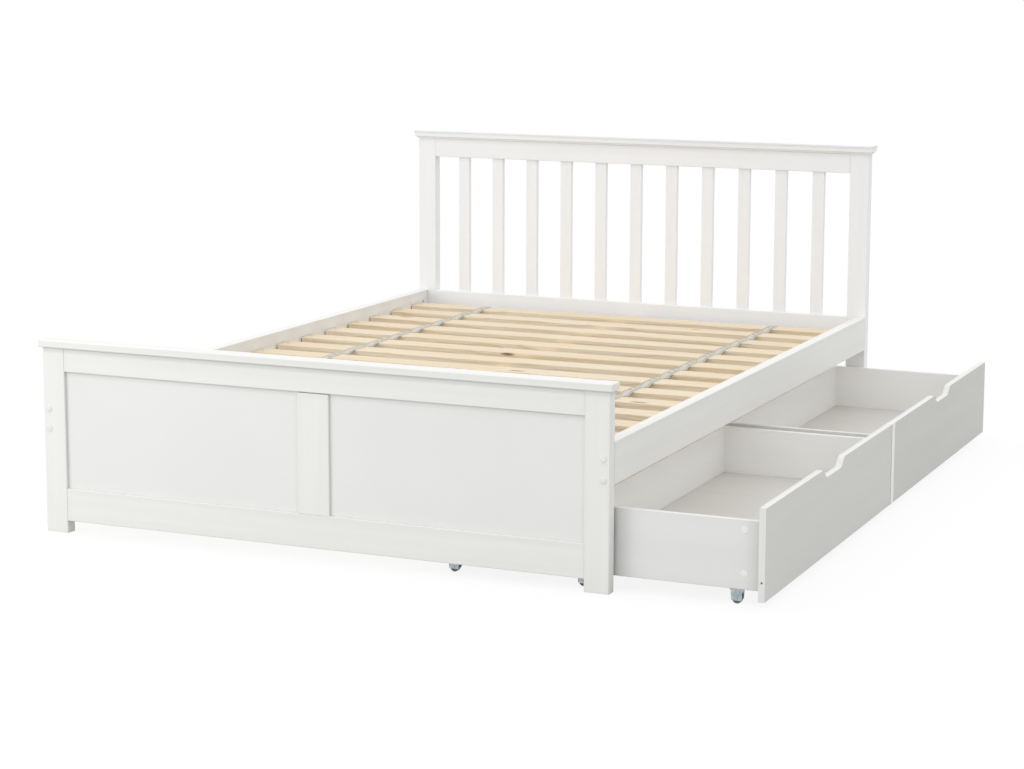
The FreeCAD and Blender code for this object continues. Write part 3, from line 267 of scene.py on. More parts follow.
# Mask for painted shade: finishes grey their colour with it where a point is closed in.
def painted_shade_share(tree: bpy.types.NodeTree, reach_mm: float, lean: float) -> bpy.types.Node:
    """Shows how far a point is closed in by what stands near it.

    The share is one minus the open part, within the reach, of the half space about the normal. A lean tips
    that half space upwards, so that a ledge above counts for more than a step beside or below.

    Args:
        tree: the node tree.
        reach_mm: how far away a thing still counts.
        lean: how much of the upward direction is added to the normal.

    Returns:
        The node that gives 0 in the open to 1.
    """
    true = add(tree, "ShaderNodeNewGeometry").outputs["Normal"]
    leant = add(tree, "ShaderNodeVectorMath", {0: true, 1: (0.0, 0.0, lean)}, operation="ADD")
    aim = add(tree, "ShaderNodeVectorMath", {0: leant}, operation="NORMALIZE")
    clear = add(tree, "ShaderNodeAmbientOcclusion", {"Distance": reach_mm * MM, "Normal": aim}, samples=6)
    return add(tree, "ShaderNodeMapRange", {"Value": clear.outputs["AO"], "From Min": 1.0, "From Max": 0.0})


def strip_share(tree: bpy.types.NodeTree, through: Axis) -> bpy.types.Node:
    """Tells a board's narrow sides from its two faces, by how far the normal leans off its thickness.

    Args:
        tree: the node tree.
        through: the direction of the board's thickness.

    Returns:
        The node that gives 0 on a face to 1 on a narrow side.
    """
    lean = add(tree, "ShaderNodeTexCoord").outputs["Normal"]
    apart = add(tree, "ShaderNodeSeparateXYZ", {"Vector": lean})
    off = add(tree, "ShaderNodeMath", {0: apart.outputs[through.value]}, operation="ABSOLUTE")
    return add(tree, "ShaderNodeMapRange", {"Value": off, "From Min": 0.8, "From Max": 0.6})


def direct_share(tree: bpy.types.NodeTree) -> bpy.types.Node:
    """Tells what is seen straight, in a gloss or through something clear from what only lights other things.

    Args:
        tree: the node tree.

    Returns:
        The node that gives 1 for what is seen and 0 for the rest.
    """
    rays = add(tree, "ShaderNodeLightPath")
    seen = add(tree, "ShaderNodeMath", {
        0: rays.outputs["Is Camera Ray"], 1: rays.outputs["Is Glossy Ray"],
    }, operation="MAXIMUM")
    return add(tree, "ShaderNodeMath", {0: seen, 1: rays.outputs["Is Transmission Ray"]}, operation="MAXIMUM")


# ------------------------------------------------------------------------------------ finishes


@dataclass(frozen=True)
class SatinPaintOnPine:
    """White satin paint, sprayed and flatted over planed pine.

    The eye sees a nearly plain white whose slow streaks follow the board, fine ridges where the hard late
    wood stands proud under the film and a slightly warmer tone on edges where the film is thin. Close under
    a ledge the colour is greyer: painted shade, standing in for the ledge's shadow. The growth rings are
    3.5 mm apart, drawn a little wide so that they show from across a room.
    """

    name: str
    along: Axis
    colour: str = "f3f3f1"
    streak: str = "ededea"
    thin_edge: str = "f6f5f2"
    # Colour of the painted shade close under a ledge, standing in for the ledge's shadow.
    painted_ledge_shade: str = "d2d2d1"
    roughness: float = 0.42
    streak_mm: tuple[float, float] = (22.0, 620.0)
    ring_mm: tuple[float, float] = (3.5, 260.0)
    peel_mm: float = 1.6
    edge_mm: float = 1.2
    ledge_mm: float = 14.0
    ledge_lean: float = 0.9

    def build(self) -> bpy.types.Material:
        """Makes the material.

        Returns:
            The finished material.
        """
        material, tree, shader = blank(self.name)
        streaks = add(tree, "ShaderNodeTexNoise", {
            "Vector": stretched(tree, self.along, *self.streak_mm), "Scale": 1.0, "Detail": 3.0,
            "Roughness": 0.55,
        })
        rings = add(tree, "ShaderNodeTexNoise", {
            "Vector": stretched(tree, self.along, *self.ring_mm), "Scale": 1.0, "Detail": 4.0,
            "Roughness": 0.6,
        })
        peel = add(tree, "ShaderNodeTexNoise", {
            "Vector": stretched(tree, self.along, self.peel_mm, self.peel_mm), "Scale": 1.0, "Detail": 1.0,
        })
        ridges = add(tree, "ShaderNodeBump", {"Height": rings, "Strength": 0.22, "Distance": 0.25 * MM})
        wire(tree, shader, {
            "Base Color": layered(tree, self.colour, [
                Coat(self.streak, streaks, start=0.35, end=0.75, share=0.6),
                Coat(self.streak, rings, start=0.52, end=0.72, share=0.3),
                Coat(self.thin_edge, edge_share(tree, self.edge_mm), start=0.2, share=0.55),
                # Painted shade: the colour greys where a ledge above closes the point in.
                Coat(self.painted_ledge_shade, painted_shade_share(tree, self.ledge_mm, self.ledge_lean)),
            ]),
            "Roughness": add(tree, "ShaderNodeMapRange", {
                "Value": streaks, "From Min": 0.3, "From Max": 0.7,
                "To Min": self.roughness - 0.05, "To Max": self.roughness + 0.07,
            }),
            "Normal": add(tree, "ShaderNodeBump", {
                "Height": peel, "Strength": 0.08, "Distance": 0.1 * MM, "Normal": ridges,
            }),
            "IOR": 1.47,
        })
        return material


@dataclass(frozen=True)
class RollerPaintOnFibreboard:
    """White paint rolled on smooth fibreboard.

    There is no grain: the eye sees an even film with a low stipple, about 2 mm from bump to bump. Close
    under a ledge the colour is greyer: painted shade, standing in for the ledge's shadow.
    """

    name: str
    colour: str = "f0f1ef"
    cloud: str = "edeeec"
    # Colour of the painted shade close under a ledge, standing in for the ledge's shadow.
    painted_ledge_shade: str = "cfcfce"
    roughness: float = 0.38
    cloud_mm: tuple[float, float] = (190.0, 260.0)
    stipple_mm: float = 2.0
    ledge_mm: float = 14.0
    ledge_lean: float = 0.9

    def build(self) -> bpy.types.Material:
        """Makes the material.

        Returns:
            The finished material.
        """
        material, tree, shader = blank(self.name)
        cloud = add(tree, "ShaderNodeTexNoise", {
            "Vector": stretched(tree, Axis.X, *self.cloud_mm), "Scale": 1.0, "Detail": 2.0,
        })
        stipple = add(tree, "ShaderNodeTexNoise", {
            "Vector": stretched(tree, Axis.X, self.stipple_mm, self.stipple_mm), "Scale": 1.0, "Detail": 2.0,
            "Roughness": 0.4,
        })
        wire(tree, shader, {
            "Base Color": layered(tree, self.colour, [
                Coat(self.cloud, cloud, start=0.35, end=0.7, share=0.8),
                # Painted shade: the colour greys where a ledge above closes the point in.
                Coat(self.painted_ledge_shade, painted_shade_share(tree, self.ledge_mm, self.ledge_lean)),
            ]),
            "Roughness": add(tree, "ShaderNodeMapRange", {
                "Value": cloud, "From Min": 0.3, "From Max": 0.7,
                "To Min": self.roughness, "To Max": self.roughness + 0.08,
            }),
            "Normal": add(tree, "ShaderNodeBump", {
                "Height": stipple, "Strength": 0.18, "Distance": 0.15 * MM,
            }),
            "IOR": 1.47,
        })
        return material


@dataclass(frozen=True)
class FoilOnChipboard:
    """White paper foil pressed on chipboard, as drawer boards have.

    The eye sees a cool, even white with fine printed pores along the board. They are about 0.4 mm wide on
    the real foil, drawn 1.6 mm wide so that they show. The board's narrow sides carry a brighter edging
    strip, which also shows as a light line where it meets the faces. Where a tone for painted shade is
    given, the foil is greyer close to a post: painted shade, standing in for the post's shadow.
    """

    name: str
    along: Axis
    through: Axis
    colour: str
    pore: str
    edging: str = "ececea"
    # Colour of the painted shade close to a post, standing in for the post's shadow; none leaves it out.
    painted_post_shade: str | None = None
    roughness: float = 0.36
    pore_mm: tuple[float, float] = (1.6, 42.0)
    cloud_mm: tuple[float, float] = (60.0, 700.0)
    edge_mm: float = 1.0
    post_mm: float = 45.0

    def build(self) -> bpy.types.Material:
        """Makes the material.

        Returns:
            The finished material.
        """
        material, tree, shader = blank(self.name)
        pores = add(tree, "ShaderNodeTexNoise", {
            "Vector": stretched(tree, self.along, *self.pore_mm), "Scale": 1.0, "Detail": 3.0,
            "Roughness": 0.65,
        })
        cloud = add(tree, "ShaderNodeTexNoise", {
            "Vector": stretched(tree, self.along, *self.cloud_mm), "Scale": 1.0, "Detail": 2.0,
        })
        line = add(tree, "ShaderNodeMapRange", {
            "Value": edge_share(tree, self.edge_mm), "From Min": 0.1, "From Max": 0.8, "To Max": 0.9,
        })
        strip = add(tree, "ShaderNodeMath", {0: line, 1: strip_share(tree, self.through)},
                    operation="MAXIMUM")
        coats = [
            Coat(self.pore, cloud, start=0.35, end=0.7, share=0.6),
            Coat(self.pore, pores, start=0.55, end=0.75, share=0.45),
        ]
        # Painted shade close to a post, standing in for the post's shadow on the drawer side.
        if self.painted_post_shade:
            coats.append(Coat(self.painted_post_shade, painted_shade_share(tree, self.post_mm, 0.0)))
        coats.append(Coat(self.edging, strip))
        wire(tree, shader, {
            "Base Color": layered(tree, self.colour, coats),
            "Roughness": add(tree, "ShaderNodeMapRange", {
                "Value": pores, "From Min": 0.4, "From Max": 0.7,
                "To Min": self.roughness, "To Max": self.roughness + 0.1,
            }),
            "Normal": add(tree, "ShaderNodeBump", {"Height": pores, "Strength": 0.12, "Distance": 0.08 * MM}),
            "IOR": 1.5,
        })
        return material


@dataclass(frozen=True)
class LacqueredHardboard:
    """Thin hardboard: white lacquer on its upper face, bare brown fibre with a screen print below.

    The eye sees pale grey from above, with faint roller lines, and from below a warm brown waffle that the
    pressing screen left, about 2.5 mm from mesh to mesh.
    """

    name: str
    middle: float
    lacquer: str = "e0deda"
    roller_line: str = "d8d5d0"
    fibre: str = "8d6b48"
    fibre_dark: str = "6f5236"
    line_mm: tuple[float, float] = (7.0, 420.0)
    speckle_mm: float = 3.0
    screen_mm: float = 2.5

    def build(self) -> bpy.types.Material:
        """Makes the material.

        Returns:
            The finished material.
        """
        material, tree, shader = blank(self.name)
        place = add(tree, "ShaderNodeTexCoord").outputs["Object"]
        apart = add(tree, "ShaderNodeSeparateXYZ", {"Vector": place})
        above = add(tree, "ShaderNodeMath", {0: apart.outputs["Z"], 1: self.middle}, operation="GREATER_THAN")
        lines = add(tree, "ShaderNodeTexNoise", {
            "Vector": stretched(tree, Axis.X, *self.line_mm), "Scale": 1.0, "Detail": 3.0, "Roughness": 0.6,
        })
        speckle = add(tree, "ShaderNodeTexNoise", {
            "Vector": stretched(tree, Axis.X, self.speckle_mm, self.speckle_mm), "Scale": 1.0, "Detail": 4.0,
            "Roughness": 0.7,
        })
        upper = layered(tree, self.lacquer, [Coat(self.roller_line, lines, start=0.4, end=0.7)])
        wire(tree, shader, {
            "Base Color": layered(tree, self.fibre, [
                Coat(self.fibre_dark, speckle, start=0.35, end=0.65), Coat(upper, above),
            ]),
            "Roughness": add(tree, "ShaderNodeMapRange", {"Value": above, "To Min": 0.85, "To Max": 0.4}),
            "Normal": add(tree, "ShaderNodeBump", {
                "Height": waffle(tree, apart, self.screen_mm),
                "Strength": add(tree, "ShaderNodeMapRange", {"Value": above, "To Min": 0.5, "To Max": 0.0}),
                "Distance": 0.2 * MM,
            }),
            "IOR": 1.5,
        })
        return material


@dataclass(frozen=True)
class PlanedPine:
    """Planed and unfinished wood, cut from a log whose rings run through the board.

    The eye sees pale straw-coloured early wood with sharp orange-brown late wood lines, arches where a ring
    lies flat in the face, a few small knots and a dry, slightly fuzzy surface. Each board of a row has
    rings of its own: the log's axis lies up to 90 mm from a board, and each board starts elsewhere along
    it.
    """

    name: str
    along: Axis
    row: Axis
    row_start: float
    row_pitch: float
    early: str = "f2e6d0"
    late: str = "dbbf94"
    heart: str = "ead8b9"
    knot: str = "7a4a26"
    ring_mm: float = 4.2
    axis_spread: float = 0.18
    start_spread: float = 6.0
    sway: float = 22.0 * MM
    sway_mm: tuple[float, float] = (70.0, 480.0)
    fibre_mm: tuple[float, float] = (0.9, 55.0)
    knot_mm: tuple[float, float] = (80.0, 330.0)

    def board_place(self, tree: bpy.types.NodeTree) -> bpy.types.Node:
        """Finds a point's place in the log that its board was cut from.

        The board's number in its row is the whole part of the distance from the row's start over the pitch.
        It seeds a random shift of the log, and that many pitches are taken off the place.

        Args:
            tree: the node tree.

        Returns:
            The node that gives the place.
        """
        place = add(tree, "ShaderNodeTexCoord").outputs["Object"]
        apart = add(tree, "ShaderNodeSeparateXYZ", {"Vector": place})
        run = add(tree, "ShaderNodeMath", {0: apart.outputs[self.row.value], 1: self.row_start},
                  operation="SUBTRACT")
        steps = add(tree, "ShaderNodeMath", {0: run, 1: self.row_pitch}, operation="DIVIDE")
        number = add(tree, "ShaderNodeMath", {0: steps}, operation="FLOOR")
        chance = add(tree, "ShaderNodeTexWhiteNoise", {"W": number}, noise_dimensions="1D").outputs["Color"]
        spread = add(tree, "ShaderNodeVectorMath", {0: chance, 1: (0.5, 0.5, 0.5)}, operation="SUBTRACT")
        shift = add(tree, "ShaderNodeVectorMath", {
            0: spread, 1: axial(self.along, self.start_spread, self.axis_spread),
        }, operation="MULTIPLY")
        board = add(tree, "ShaderNodeVectorMath", {0: axial(self.row, -self.row_pitch, 0.0), 3: number},
                    operation="SCALE")
        moved = add(tree, "ShaderNodeVectorMath", {0: place, 1: shift}, operation="ADD")
        return add(tree, "ShaderNodeVectorMath", {0: moved, 1: board}, operation="ADD")

    def build(self) -> bpy.types.Material:
        """Makes the material.

        A point's ring number is its distance from the log's axis over the ring spacing, bent by slow noise.
        The late wood is the cube of how far the point is through its ring.

        Returns:
            The finished material.
        """
        material, tree, shader = blank(self.name)
        local = self.board_place(tree)
        wander = add(tree, "ShaderNodeTexNoise", {
            "Vector": stretched(tree, self.along, *self.sway_mm, local), "Scale": 1.0, "Detail": 2.0,
        })
        sway = add(tree, "ShaderNodeVectorMath", {0: wander.outputs["Color"], 1: [self.sway] * 3},
                   operation="MULTIPLY")
        bent = add(tree, "ShaderNodeVectorMath", {0: local, 1: sway}, operation="ADD")
        section = add(tree, "ShaderNodeVectorMath", {0: bent, 1: axial(self.along, 0.0, 1.0)},
                      operation="MULTIPLY")
        distance = add(tree, "ShaderNodeVectorMath", {0: section}, operation="LENGTH")
        rings = add(tree, "ShaderNodeMath", {0: distance, 1: self.ring_mm * MM}, operation="DIVIDE")
        through = add(tree, "ShaderNodeMath", {0: rings}, operation="FRACT")
        late = add(tree, "ShaderNodeMath", {0: through, 1: 3.0}, operation="POWER")
        fibres = add(tree, "ShaderNodeTexNoise", {
            "Vector": stretched(tree, self.along, *self.fibre_mm, local), "Scale": 1.0, "Detail": 3.0,
        })
        knots = add(tree, "ShaderNodeTexVoronoi", {
            "Vector": stretched(tree, self.along, *self.knot_mm, local), "Scale": 1.0,
        })
        wire(tree, shader, {
            "Base Color": layered(tree, self.early, [
                Coat(self.heart, wander, start=0.35, end=0.65, share=0.7),
                Coat(self.late, late, share=0.8),
                Coat(self.late, fibres, start=0.45, end=0.8, share=0.4),
                Coat(self.knot, knots, start=0.09, end=0.05, share=0.85),
            ]),
            "Roughness": add(tree, "ShaderNodeMapRange", {"Value": late, "To Min": 0.62, "To Max": 0.5}),
            "Normal": add(tree, "ShaderNodeBump", {"Height": fibres, "Strength": 0.3, "Distance": 0.15 * MM}),
        })
        return material


@dataclass(frozen=True)
class ZincPlate:
    """Bright zinc plate with a blue passivation, on pressed or headed steel.

    The eye sees a cool grey metal, cloudy from the bath, with a faint spangle and soft reflections.
    """

    name: str
    colour: str = "bac4c8"
    cloud: str = "99a5aa"
    roughness: float = 0.38
    cloud_mm: float = 9.0
    grit_mm: float = 0.6

    def build(self) -> bpy.types.Material:
        """Makes the material.

        Returns:
            The finished material.
        """
        material, tree, shader = blank(self.name)
        cloud = add(tree, "ShaderNodeTexNoise", {
            "Vector": stretched(tree, Axis.X, self.cloud_mm, self.cloud_mm), "Scale": 1.0, "Detail": 4.0,
            "Roughness": 0.6,
        })
        grit = add(tree, "ShaderNodeTexNoise", {
            "Vector": stretched(tree, Axis.X, self.grit_mm, self.grit_mm), "Scale": 1.0, "Detail": 2.0,
        })
        wire(tree, shader, {
            "Base Color": layered(tree, self.colour, [Coat(self.cloud, cloud, start=0.35, end=0.65)]),
            "Roughness": add(tree, "ShaderNodeMapRange", {
                "Value": cloud, "From Min": 0.3, "From Max": 0.7,
                "To Min": self.roughness - 0.08, "To Max": self.roughness + 0.1,
            }),
            "Normal": add(tree, "ShaderNodeBump", {"Height": grit, "Strength": 0.12, "Distance": 0.05 * MM}),
            "Metallic": 1.0,
        })
        return material


@dataclass(frozen=True)
class PowderCoat:
    """Grey polyester powder coat, baked on steel tube.

    The eye sees an even grey with an orange-peel skin about 1.5 mm from bump to bump.
    """

    name: str
    colour: str = "a3a6a8"
    shade: str = "989b9d"
    peel_mm: float = 1.5
    cloud_mm: tuple[float, float] = (40.0, 90.0)

    def build(self) -> bpy.types.Material:
        """Makes the material.

        Returns:
            The finished material.
        """
        material, tree, shader = blank(self.name)
        peel = add(tree, "ShaderNodeTexNoise", {
            "Vector": stretched(tree, Axis.Z, self.peel_mm, self.peel_mm), "Scale": 1.0, "Detail": 2.0,
            "Roughness": 0.4,
        })
        cloud = add(tree, "ShaderNodeTexNoise", {
            "Vector": stretched(tree, Axis.Z, *self.cloud_mm), "Scale": 1.0, "Detail": 2.0,
        })
        wire(tree, shader, {
            "Base Color": layered(tree, self.colour, [Coat(self.shade, cloud)]),
            "Roughness": add(tree, "ShaderNodeMapRange", {
                "Value": peel, "From Min": 0.3, "From Max": 0.7, "To Min": 0.36, "To Max": 0.46,
            }),
            "Normal": add(tree, "ShaderNodeBump", {"Height": peel, "Strength": 0.3, "Distance": 0.15 * MM}),
            "IOR": 1.5,
        })
        return material


@dataclass(frozen=True)
class MouldedPlastic:
    """An injection-moulded plastic such as nylon or polythene, with a spark-eroded skin.

    The eye sees one colour, slightly uneven, and a soft sheen broken by a grit of about half a millimetre.
    """

    name: str
    colour: str
    shade: str
    roughness: float = 0.42
    cloud_mm: float = 14.0
    grit_mm: float = 0.5

    def build(self) -> bpy.types.Material:
        """Makes the material.

        Returns:
            The finished material.
        """
        material, tree, shader = blank(self.name)
        cloud = add(tree, "ShaderNodeTexNoise", {
            "Vector": stretched(tree, Axis.X, self.cloud_mm, self.cloud_mm), "Scale": 1.0, "Detail": 2.0,
        })
        grit = add(tree, "ShaderNodeTexNoise", {
            "Vector": stretched(tree, Axis.X, self.grit_mm, self.grit_mm), "Scale": 1.0, "Detail": 1.0,
        })
        wire(tree, shader, {
            "Base Color": layered(tree, self.colour, [Coat(self.shade, cloud, start=0.3, end=0.7)]),
            "Roughness": add(tree, "ShaderNodeMapRange", {
                "Value": grit, "From Min": 0.3, "From Max": 0.7,
                "To Min": self.roughness - 0.04, "To Max": self.roughness + 0.08,
            }),
            "Normal": add(tree, "ShaderNodeBump", {"Height": grit, "Strength": 0.15, "Distance": 0.06 * MM}),
            "IOR": 1.52,
        })
        return material


@dataclass(frozen=True)
class WovenTape:
    """Flat polyester tape, plain woven.

    The eye sees an off-white band with a crossing weave of threads about 0.8 mm apart, drawn 1.6 mm apart
    so that they show, and a darker line beside each selvedge. The tape's own UV map runs across it and
    along it.
    """

    name: str
    wide_mm: float
    colour: str = "e4dfd2"
    shadow: str = "bdb6a5"
    line: str = "8b8f94"
    thread_mm: float = 1.6
    line_off_middle: float = 0.34
    line_half_mm: tuple[float, float] = (1.4, 0.9)

    def build(self) -> bpy.types.Material:
        """Makes the material.

        The weave's height is the product of one sine across the tape and one along it.

        Returns:
            The finished material.
        """
        material, tree, shader = blank(self.name)
        place = add(tree, "ShaderNodeUVMap", uv_map="UVMap")
        apart = add(tree, "ShaderNodeSeparateXYZ", {"Vector": place})
        weave = waffle(tree, apart, self.thread_mm)
        off_middle = add(tree, "ShaderNodeMath", {0: apart.outputs["X"]}, operation="ABSOLUTE")
        off_line = add(tree, "ShaderNodeMath", {0: off_middle, 1: self.wide_mm * MM * self.line_off_middle},
                       operation="SUBTRACT")
        near_line = add(tree, "ShaderNodeMath", {0: off_line}, operation="ABSOLUTE")
        faint, full = [half * MM for half in self.line_half_mm]
        wire(tree, shader, {
            "Base Color": layered(tree, self.shadow, [
                Coat(self.colour, weave, start=-1.0), Coat(self.line, near_line, start=faint, end=full),
            ]),
            "Normal": add(tree, "ShaderNodeBump", {"Height": weave, "Strength": 0.5, "Distance": 0.25 * MM}),
            "Roughness": 0.8,
            "Sheen Weight": 0.2,
        })
        return material


@dataclass(frozen=True)
class WhiteSweep:
    """A seamless white studio floor that shows pure white and keeps soft contact shadows.

    Seen straight or in a gloss it is mostly a plain white glow, with a share of real shading for the
    shadows. For the light that it throws back at the object it is a light grey, as a large dim studio's
    floor is.
    """

    name: str = "white_studio_sweep"
    shading: float = 0.11
    bounce: str = "c6c6c4"

    def build(self) -> bpy.types.Material:
        """Makes the material.

        Returns:
            The finished material.
        """
        material, tree, shader = blank(self.name)
        tree.nodes.remove(shader)
        shaded = add(tree, "ShaderNodeBsdfDiffuse", {"Color": WHITE})
        glow = add(tree, "ShaderNodeEmission", {"Color": WHITE, "Strength": 1.0})
        white = add(tree, "ShaderNodeMixShader", {0: 1.0 - self.shading, 1: shaded, 2: glow})
        dim = add(tree, "ShaderNodeBsdfDiffuse", {"Color": linear(self.bounce)})
        mixed = add(tree, "ShaderNodeMixShader", {0: direct_share(tree), 1: dim, 2: white})
        wire(tree, tree.nodes["Material Output"], {"Surface": mixed})
        return material


# ------------------------------------------------------------------------------------ mesh kit


class Shell:
    """Collects closed surface grids and turns them into one mesh piece."""

    def __init__(self) -> None:
        """Starts empty."""
        self.points: list[np.ndarray] = []
        self.faces: list[np.ndarray] = []
        self.marks: list[np.ndarray] = []
        self.count = 0

    def add_grid(self, points: np.ndarray, marks: np.ndarray | None = None) -> None:
        """Adds a grid of points as quads between neighbours; the last column joins the first.

        Args:
            points: an array of rows by columns by 3.
            marks: UV values for the points, rows by columns by 2.
        """
        rows, columns = points.shape[:2]
        index = self.count + np.arange(rows * columns).reshape(rows, columns)
        index = np.hstack([index, index[:, :1]])
        quads = np.stack([index[:-1, :-1], index[:-1, 1:], index[1:, 1:], index[1:, :-1]], axis=-1)
        self.points.append(points.reshape(-1, 3))
        self.faces.append(quads.reshape(-1, 4))
        self.marks.append(np.zeros((rows * columns, 2)) if marks is None else marks.reshape(-1, 2))
        self.count += rows * columns

    def piece(self, name: str, body: str, slot: str, material: bpy.types.Material) -> bpy.types.Object:
        """Makes the object, merges doubled points, turns its faces outwards and sets it riding.

        Args:
            name: the piece's name.
            body: the body that it moves with.
            slot: the name of a material slot in the record; not used.
            material: its finish.

        Returns:
            The finished object.
        """
        points = np.vstack(self.points)
        faces = np.vstack(self.faces)
        marks = np.vstack(self.marks)
        mesh = bpy.data.meshes.new(name)
        mesh.from_pydata(points, [], faces)
        layer = mesh.uv_layers.new(name="UVMap")
        layer.data.foreach_set("uv", marks[faces.ravel()].astype(np.float32).ravel())
        work = bmesh.new()
        work.from_mesh(mesh)
        bmesh.ops.remove_doubles(work, verts=work.verts, dist=MERGED_WITHIN)
        bmesh.ops.dissolve_degenerate(work, edges=work.edges, dist=DROPPED_WITHIN)
        bmesh.ops.recalc_face_normals(work, faces=work.faces)
        work.to_mesh(mesh)
        work.free()
        mesh.polygons.foreach_set("use_smooth", np.ones(len(mesh.polygons), dtype=bool))
        mesh.set_sharp_from_angle(angle=SMOOTH_UP_TO)
        mesh.materials.append(material)
        thing = bpy.data.objects.new(name, mesh)
        bpy.context.scene.collection.objects.link(thing)
        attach(thing, body)
        LOG.info("piece %s: %d faces on %s", name, len(mesh.polygons), body)
        return thing


def turned(profile: np.ndarray, sides: int) -> np.ndarray:
    """Turns a profile about Z: each of its rows becomes a ring of equal radius and height.

    Args:
        profile: rows of radius and height.
        sides: points round each ring.

    Returns:
        A closed grid of points.
    """
    angle = np.linspace(0, TAU, sides, endpoint=False)
    radius = profile[:, :1]
    return np.stack([radius * np.cos(angle), radius * np.sin(angle), np.repeat(profile[:, 1:], sides, 1)], -1)


def aimed(points: np.ndarray, place: np.ndarray, aim: np.ndarray) -> np.ndarray:
    """Turns points so that their Z runs along aim, and moves their zero to place.

    Their X lies square to the aim and level, or square to the frame's X where the aim is nearly upright.

    Args:
        points: any array whose last axis is x, y, z.
        place: where their zero goes.
        aim: the direction of their Z.

    Returns:
        The points in the bed's frame.
    """
    upward = aim / np.linalg.norm(aim)
    helper = UP if abs(upward[2]) < 0.9 else ACROSS
    sideways = np.cross(helper, upward)
    sideways /= np.linalg.norm(sideways)
    return place + points @ np.stack([sideways, np.cross(upward, sideways), upward])


def swept(path: np.ndarray, side: np.ndarray, wide: float, high: float, corners: int) -> np.ndarray:
    """Sweeps a rounded bar along a path, with both ends closed at their middle.

    Its section is a superellipse of power 4, set square to the path: side is its width's direction, and its
    height's is the cross product of the path and side.

    Args:
        path: points along the bar.
        side: a unit vector across it.
        wide: full width.
        high: full height.
        corners: points round the section.

    Returns:
        A closed grid of points.
    """
    ahead = np.gradient(path, axis=0)
    ahead /= np.linalg.norm(ahead, axis=1, keepdims=True)
    upward = np.cross(ahead, side)
    upward /= np.linalg.norm(upward, axis=1, keepdims=True)
    angle = np.linspace(0, TAU, corners, endpoint=False)
    flat = np.sign(np.cos(angle)) * np.sqrt(np.abs(np.cos(angle))) * wide / 2
    tall = np.sign(np.sin(angle)) * np.sqrt(np.abs(np.sin(angle))) * high / 2
    rings = path[:, None] + flat[None, :, None] * side + tall[None, :, None] * upward[:, None]
    first = np.repeat(path[:1, None], corners, 1)
    last = np.repeat(path[-1:, None], corners, 1)
    return np.concatenate([first, rings, last])


@dataclass(frozen=True)
class WoodScrew:
    """A countersunk wood screw with a cross recess, its head flush with its seat."""

    head_radius: float = 4.0 * MM
    shank_radius: float = 2.0 * MM
    cone_high: float = 2.2 * MM
    shank_long: float = 8.0 * MM
    recess_reach: float = 2.3 * MM
    recess_half_wide: float = 0.75 * MM
    recess_deep: float = 1.6 * MM
    recess_flank: float = 1.35
    recess_run_out: float = 0.3
    rim_high: float = 0.15 * MM
    sides: int = 24

    def surface(self) -> np.ndarray:
        """Works out the screw about +Z, its head's face at zero.

        The face is a flat disc, lowered inside a cross: the depth falls off with the distance to the nearer
        arm's line and towards the arm's end. Below it a cone runs in to the shank, which ends in a point.

        Returns:
            A closed grid of points.
        """
        reach = np.array([0, 0.12, 0.25, 0.38, 0.5, 0.62, 0.78, 0.96]) * self.head_radius
        face = turned(np.stack([reach, np.zeros_like(reach)], 1), self.sides)
        off_arm = np.minimum(np.abs(face[..., 0]), np.abs(face[..., 1]))
        out = np.maximum(np.abs(face[..., 0]), np.abs(face[..., 1]))
        arm = np.clip(self.recess_flank - off_arm / self.recess_half_wide, 0, 1)
        end = np.clip((self.recess_reach - out) / (self.recess_run_out * self.recess_reach), 0, 1)
        face[..., 2] -= self.recess_deep * arm * end
        under = turned(np.array([
            [self.head_radius, -self.rim_high],
            [self.shank_radius, -self.cone_high],
            [self.shank_radius, -self.shank_long],
            [0.0, -self.shank_long - self.shank_radius],
        ]), self.sides)
        return np.concatenate([face, under])


@dataclass(frozen=True)
class DomedCover:
    """A thin moulded cover with a plug behind it: a low dome with a rounded rim."""

    radius: float
    thick: float
    plug_radius: float
    plug_long: float
    plug_taper: float = 0.94
    taper_from: float = 0.9
    sides: int = 40

    def surface(self) -> np.ndarray:
        """Works out the cover about +Z, its plug below zero.

        The dome's height at a radius is the thickness times the square root of one minus the radius share to
        the sixth power, so that it is flat in the middle and drops steeply at the rim.

        Returns:
            A closed grid of points.
        """
        share = np.array([1.0, 0.985, 0.95, 0.88, 0.75, 0.5, 0.25, 0.0])
        dome = np.stack([share * self.radius, self.thick * np.sqrt(1 - share ** 6)], 1)
        stem = np.array([
            [0.0, -self.plug_long], [self.plug_radius * self.plug_taper, -self.plug_long],
            [self.plug_radius, -self.plug_long * self.taper_from], [self.plug_radius, 0.0],
        ])
        return turned(np.concatenate([stem, dome]), self.sides)


# ------------------------------------------------------------------------------------ sub-assemblies


def dress(nodes: dict[str, bpy.types.Object], names: list[str], material: bpy.types.Material) -> None:
    """Gives nodes of the frame a material in place of their own.

    Args:
        nodes: the frame's objects by name.
        names: which of them.
        material: their finish.
    """
    for name in names:
        mesh = nodes[name].data
        mesh.materials.clear()
        mesh.materials.append(material)
        LOG.info("node %s: %s", name, material.name)


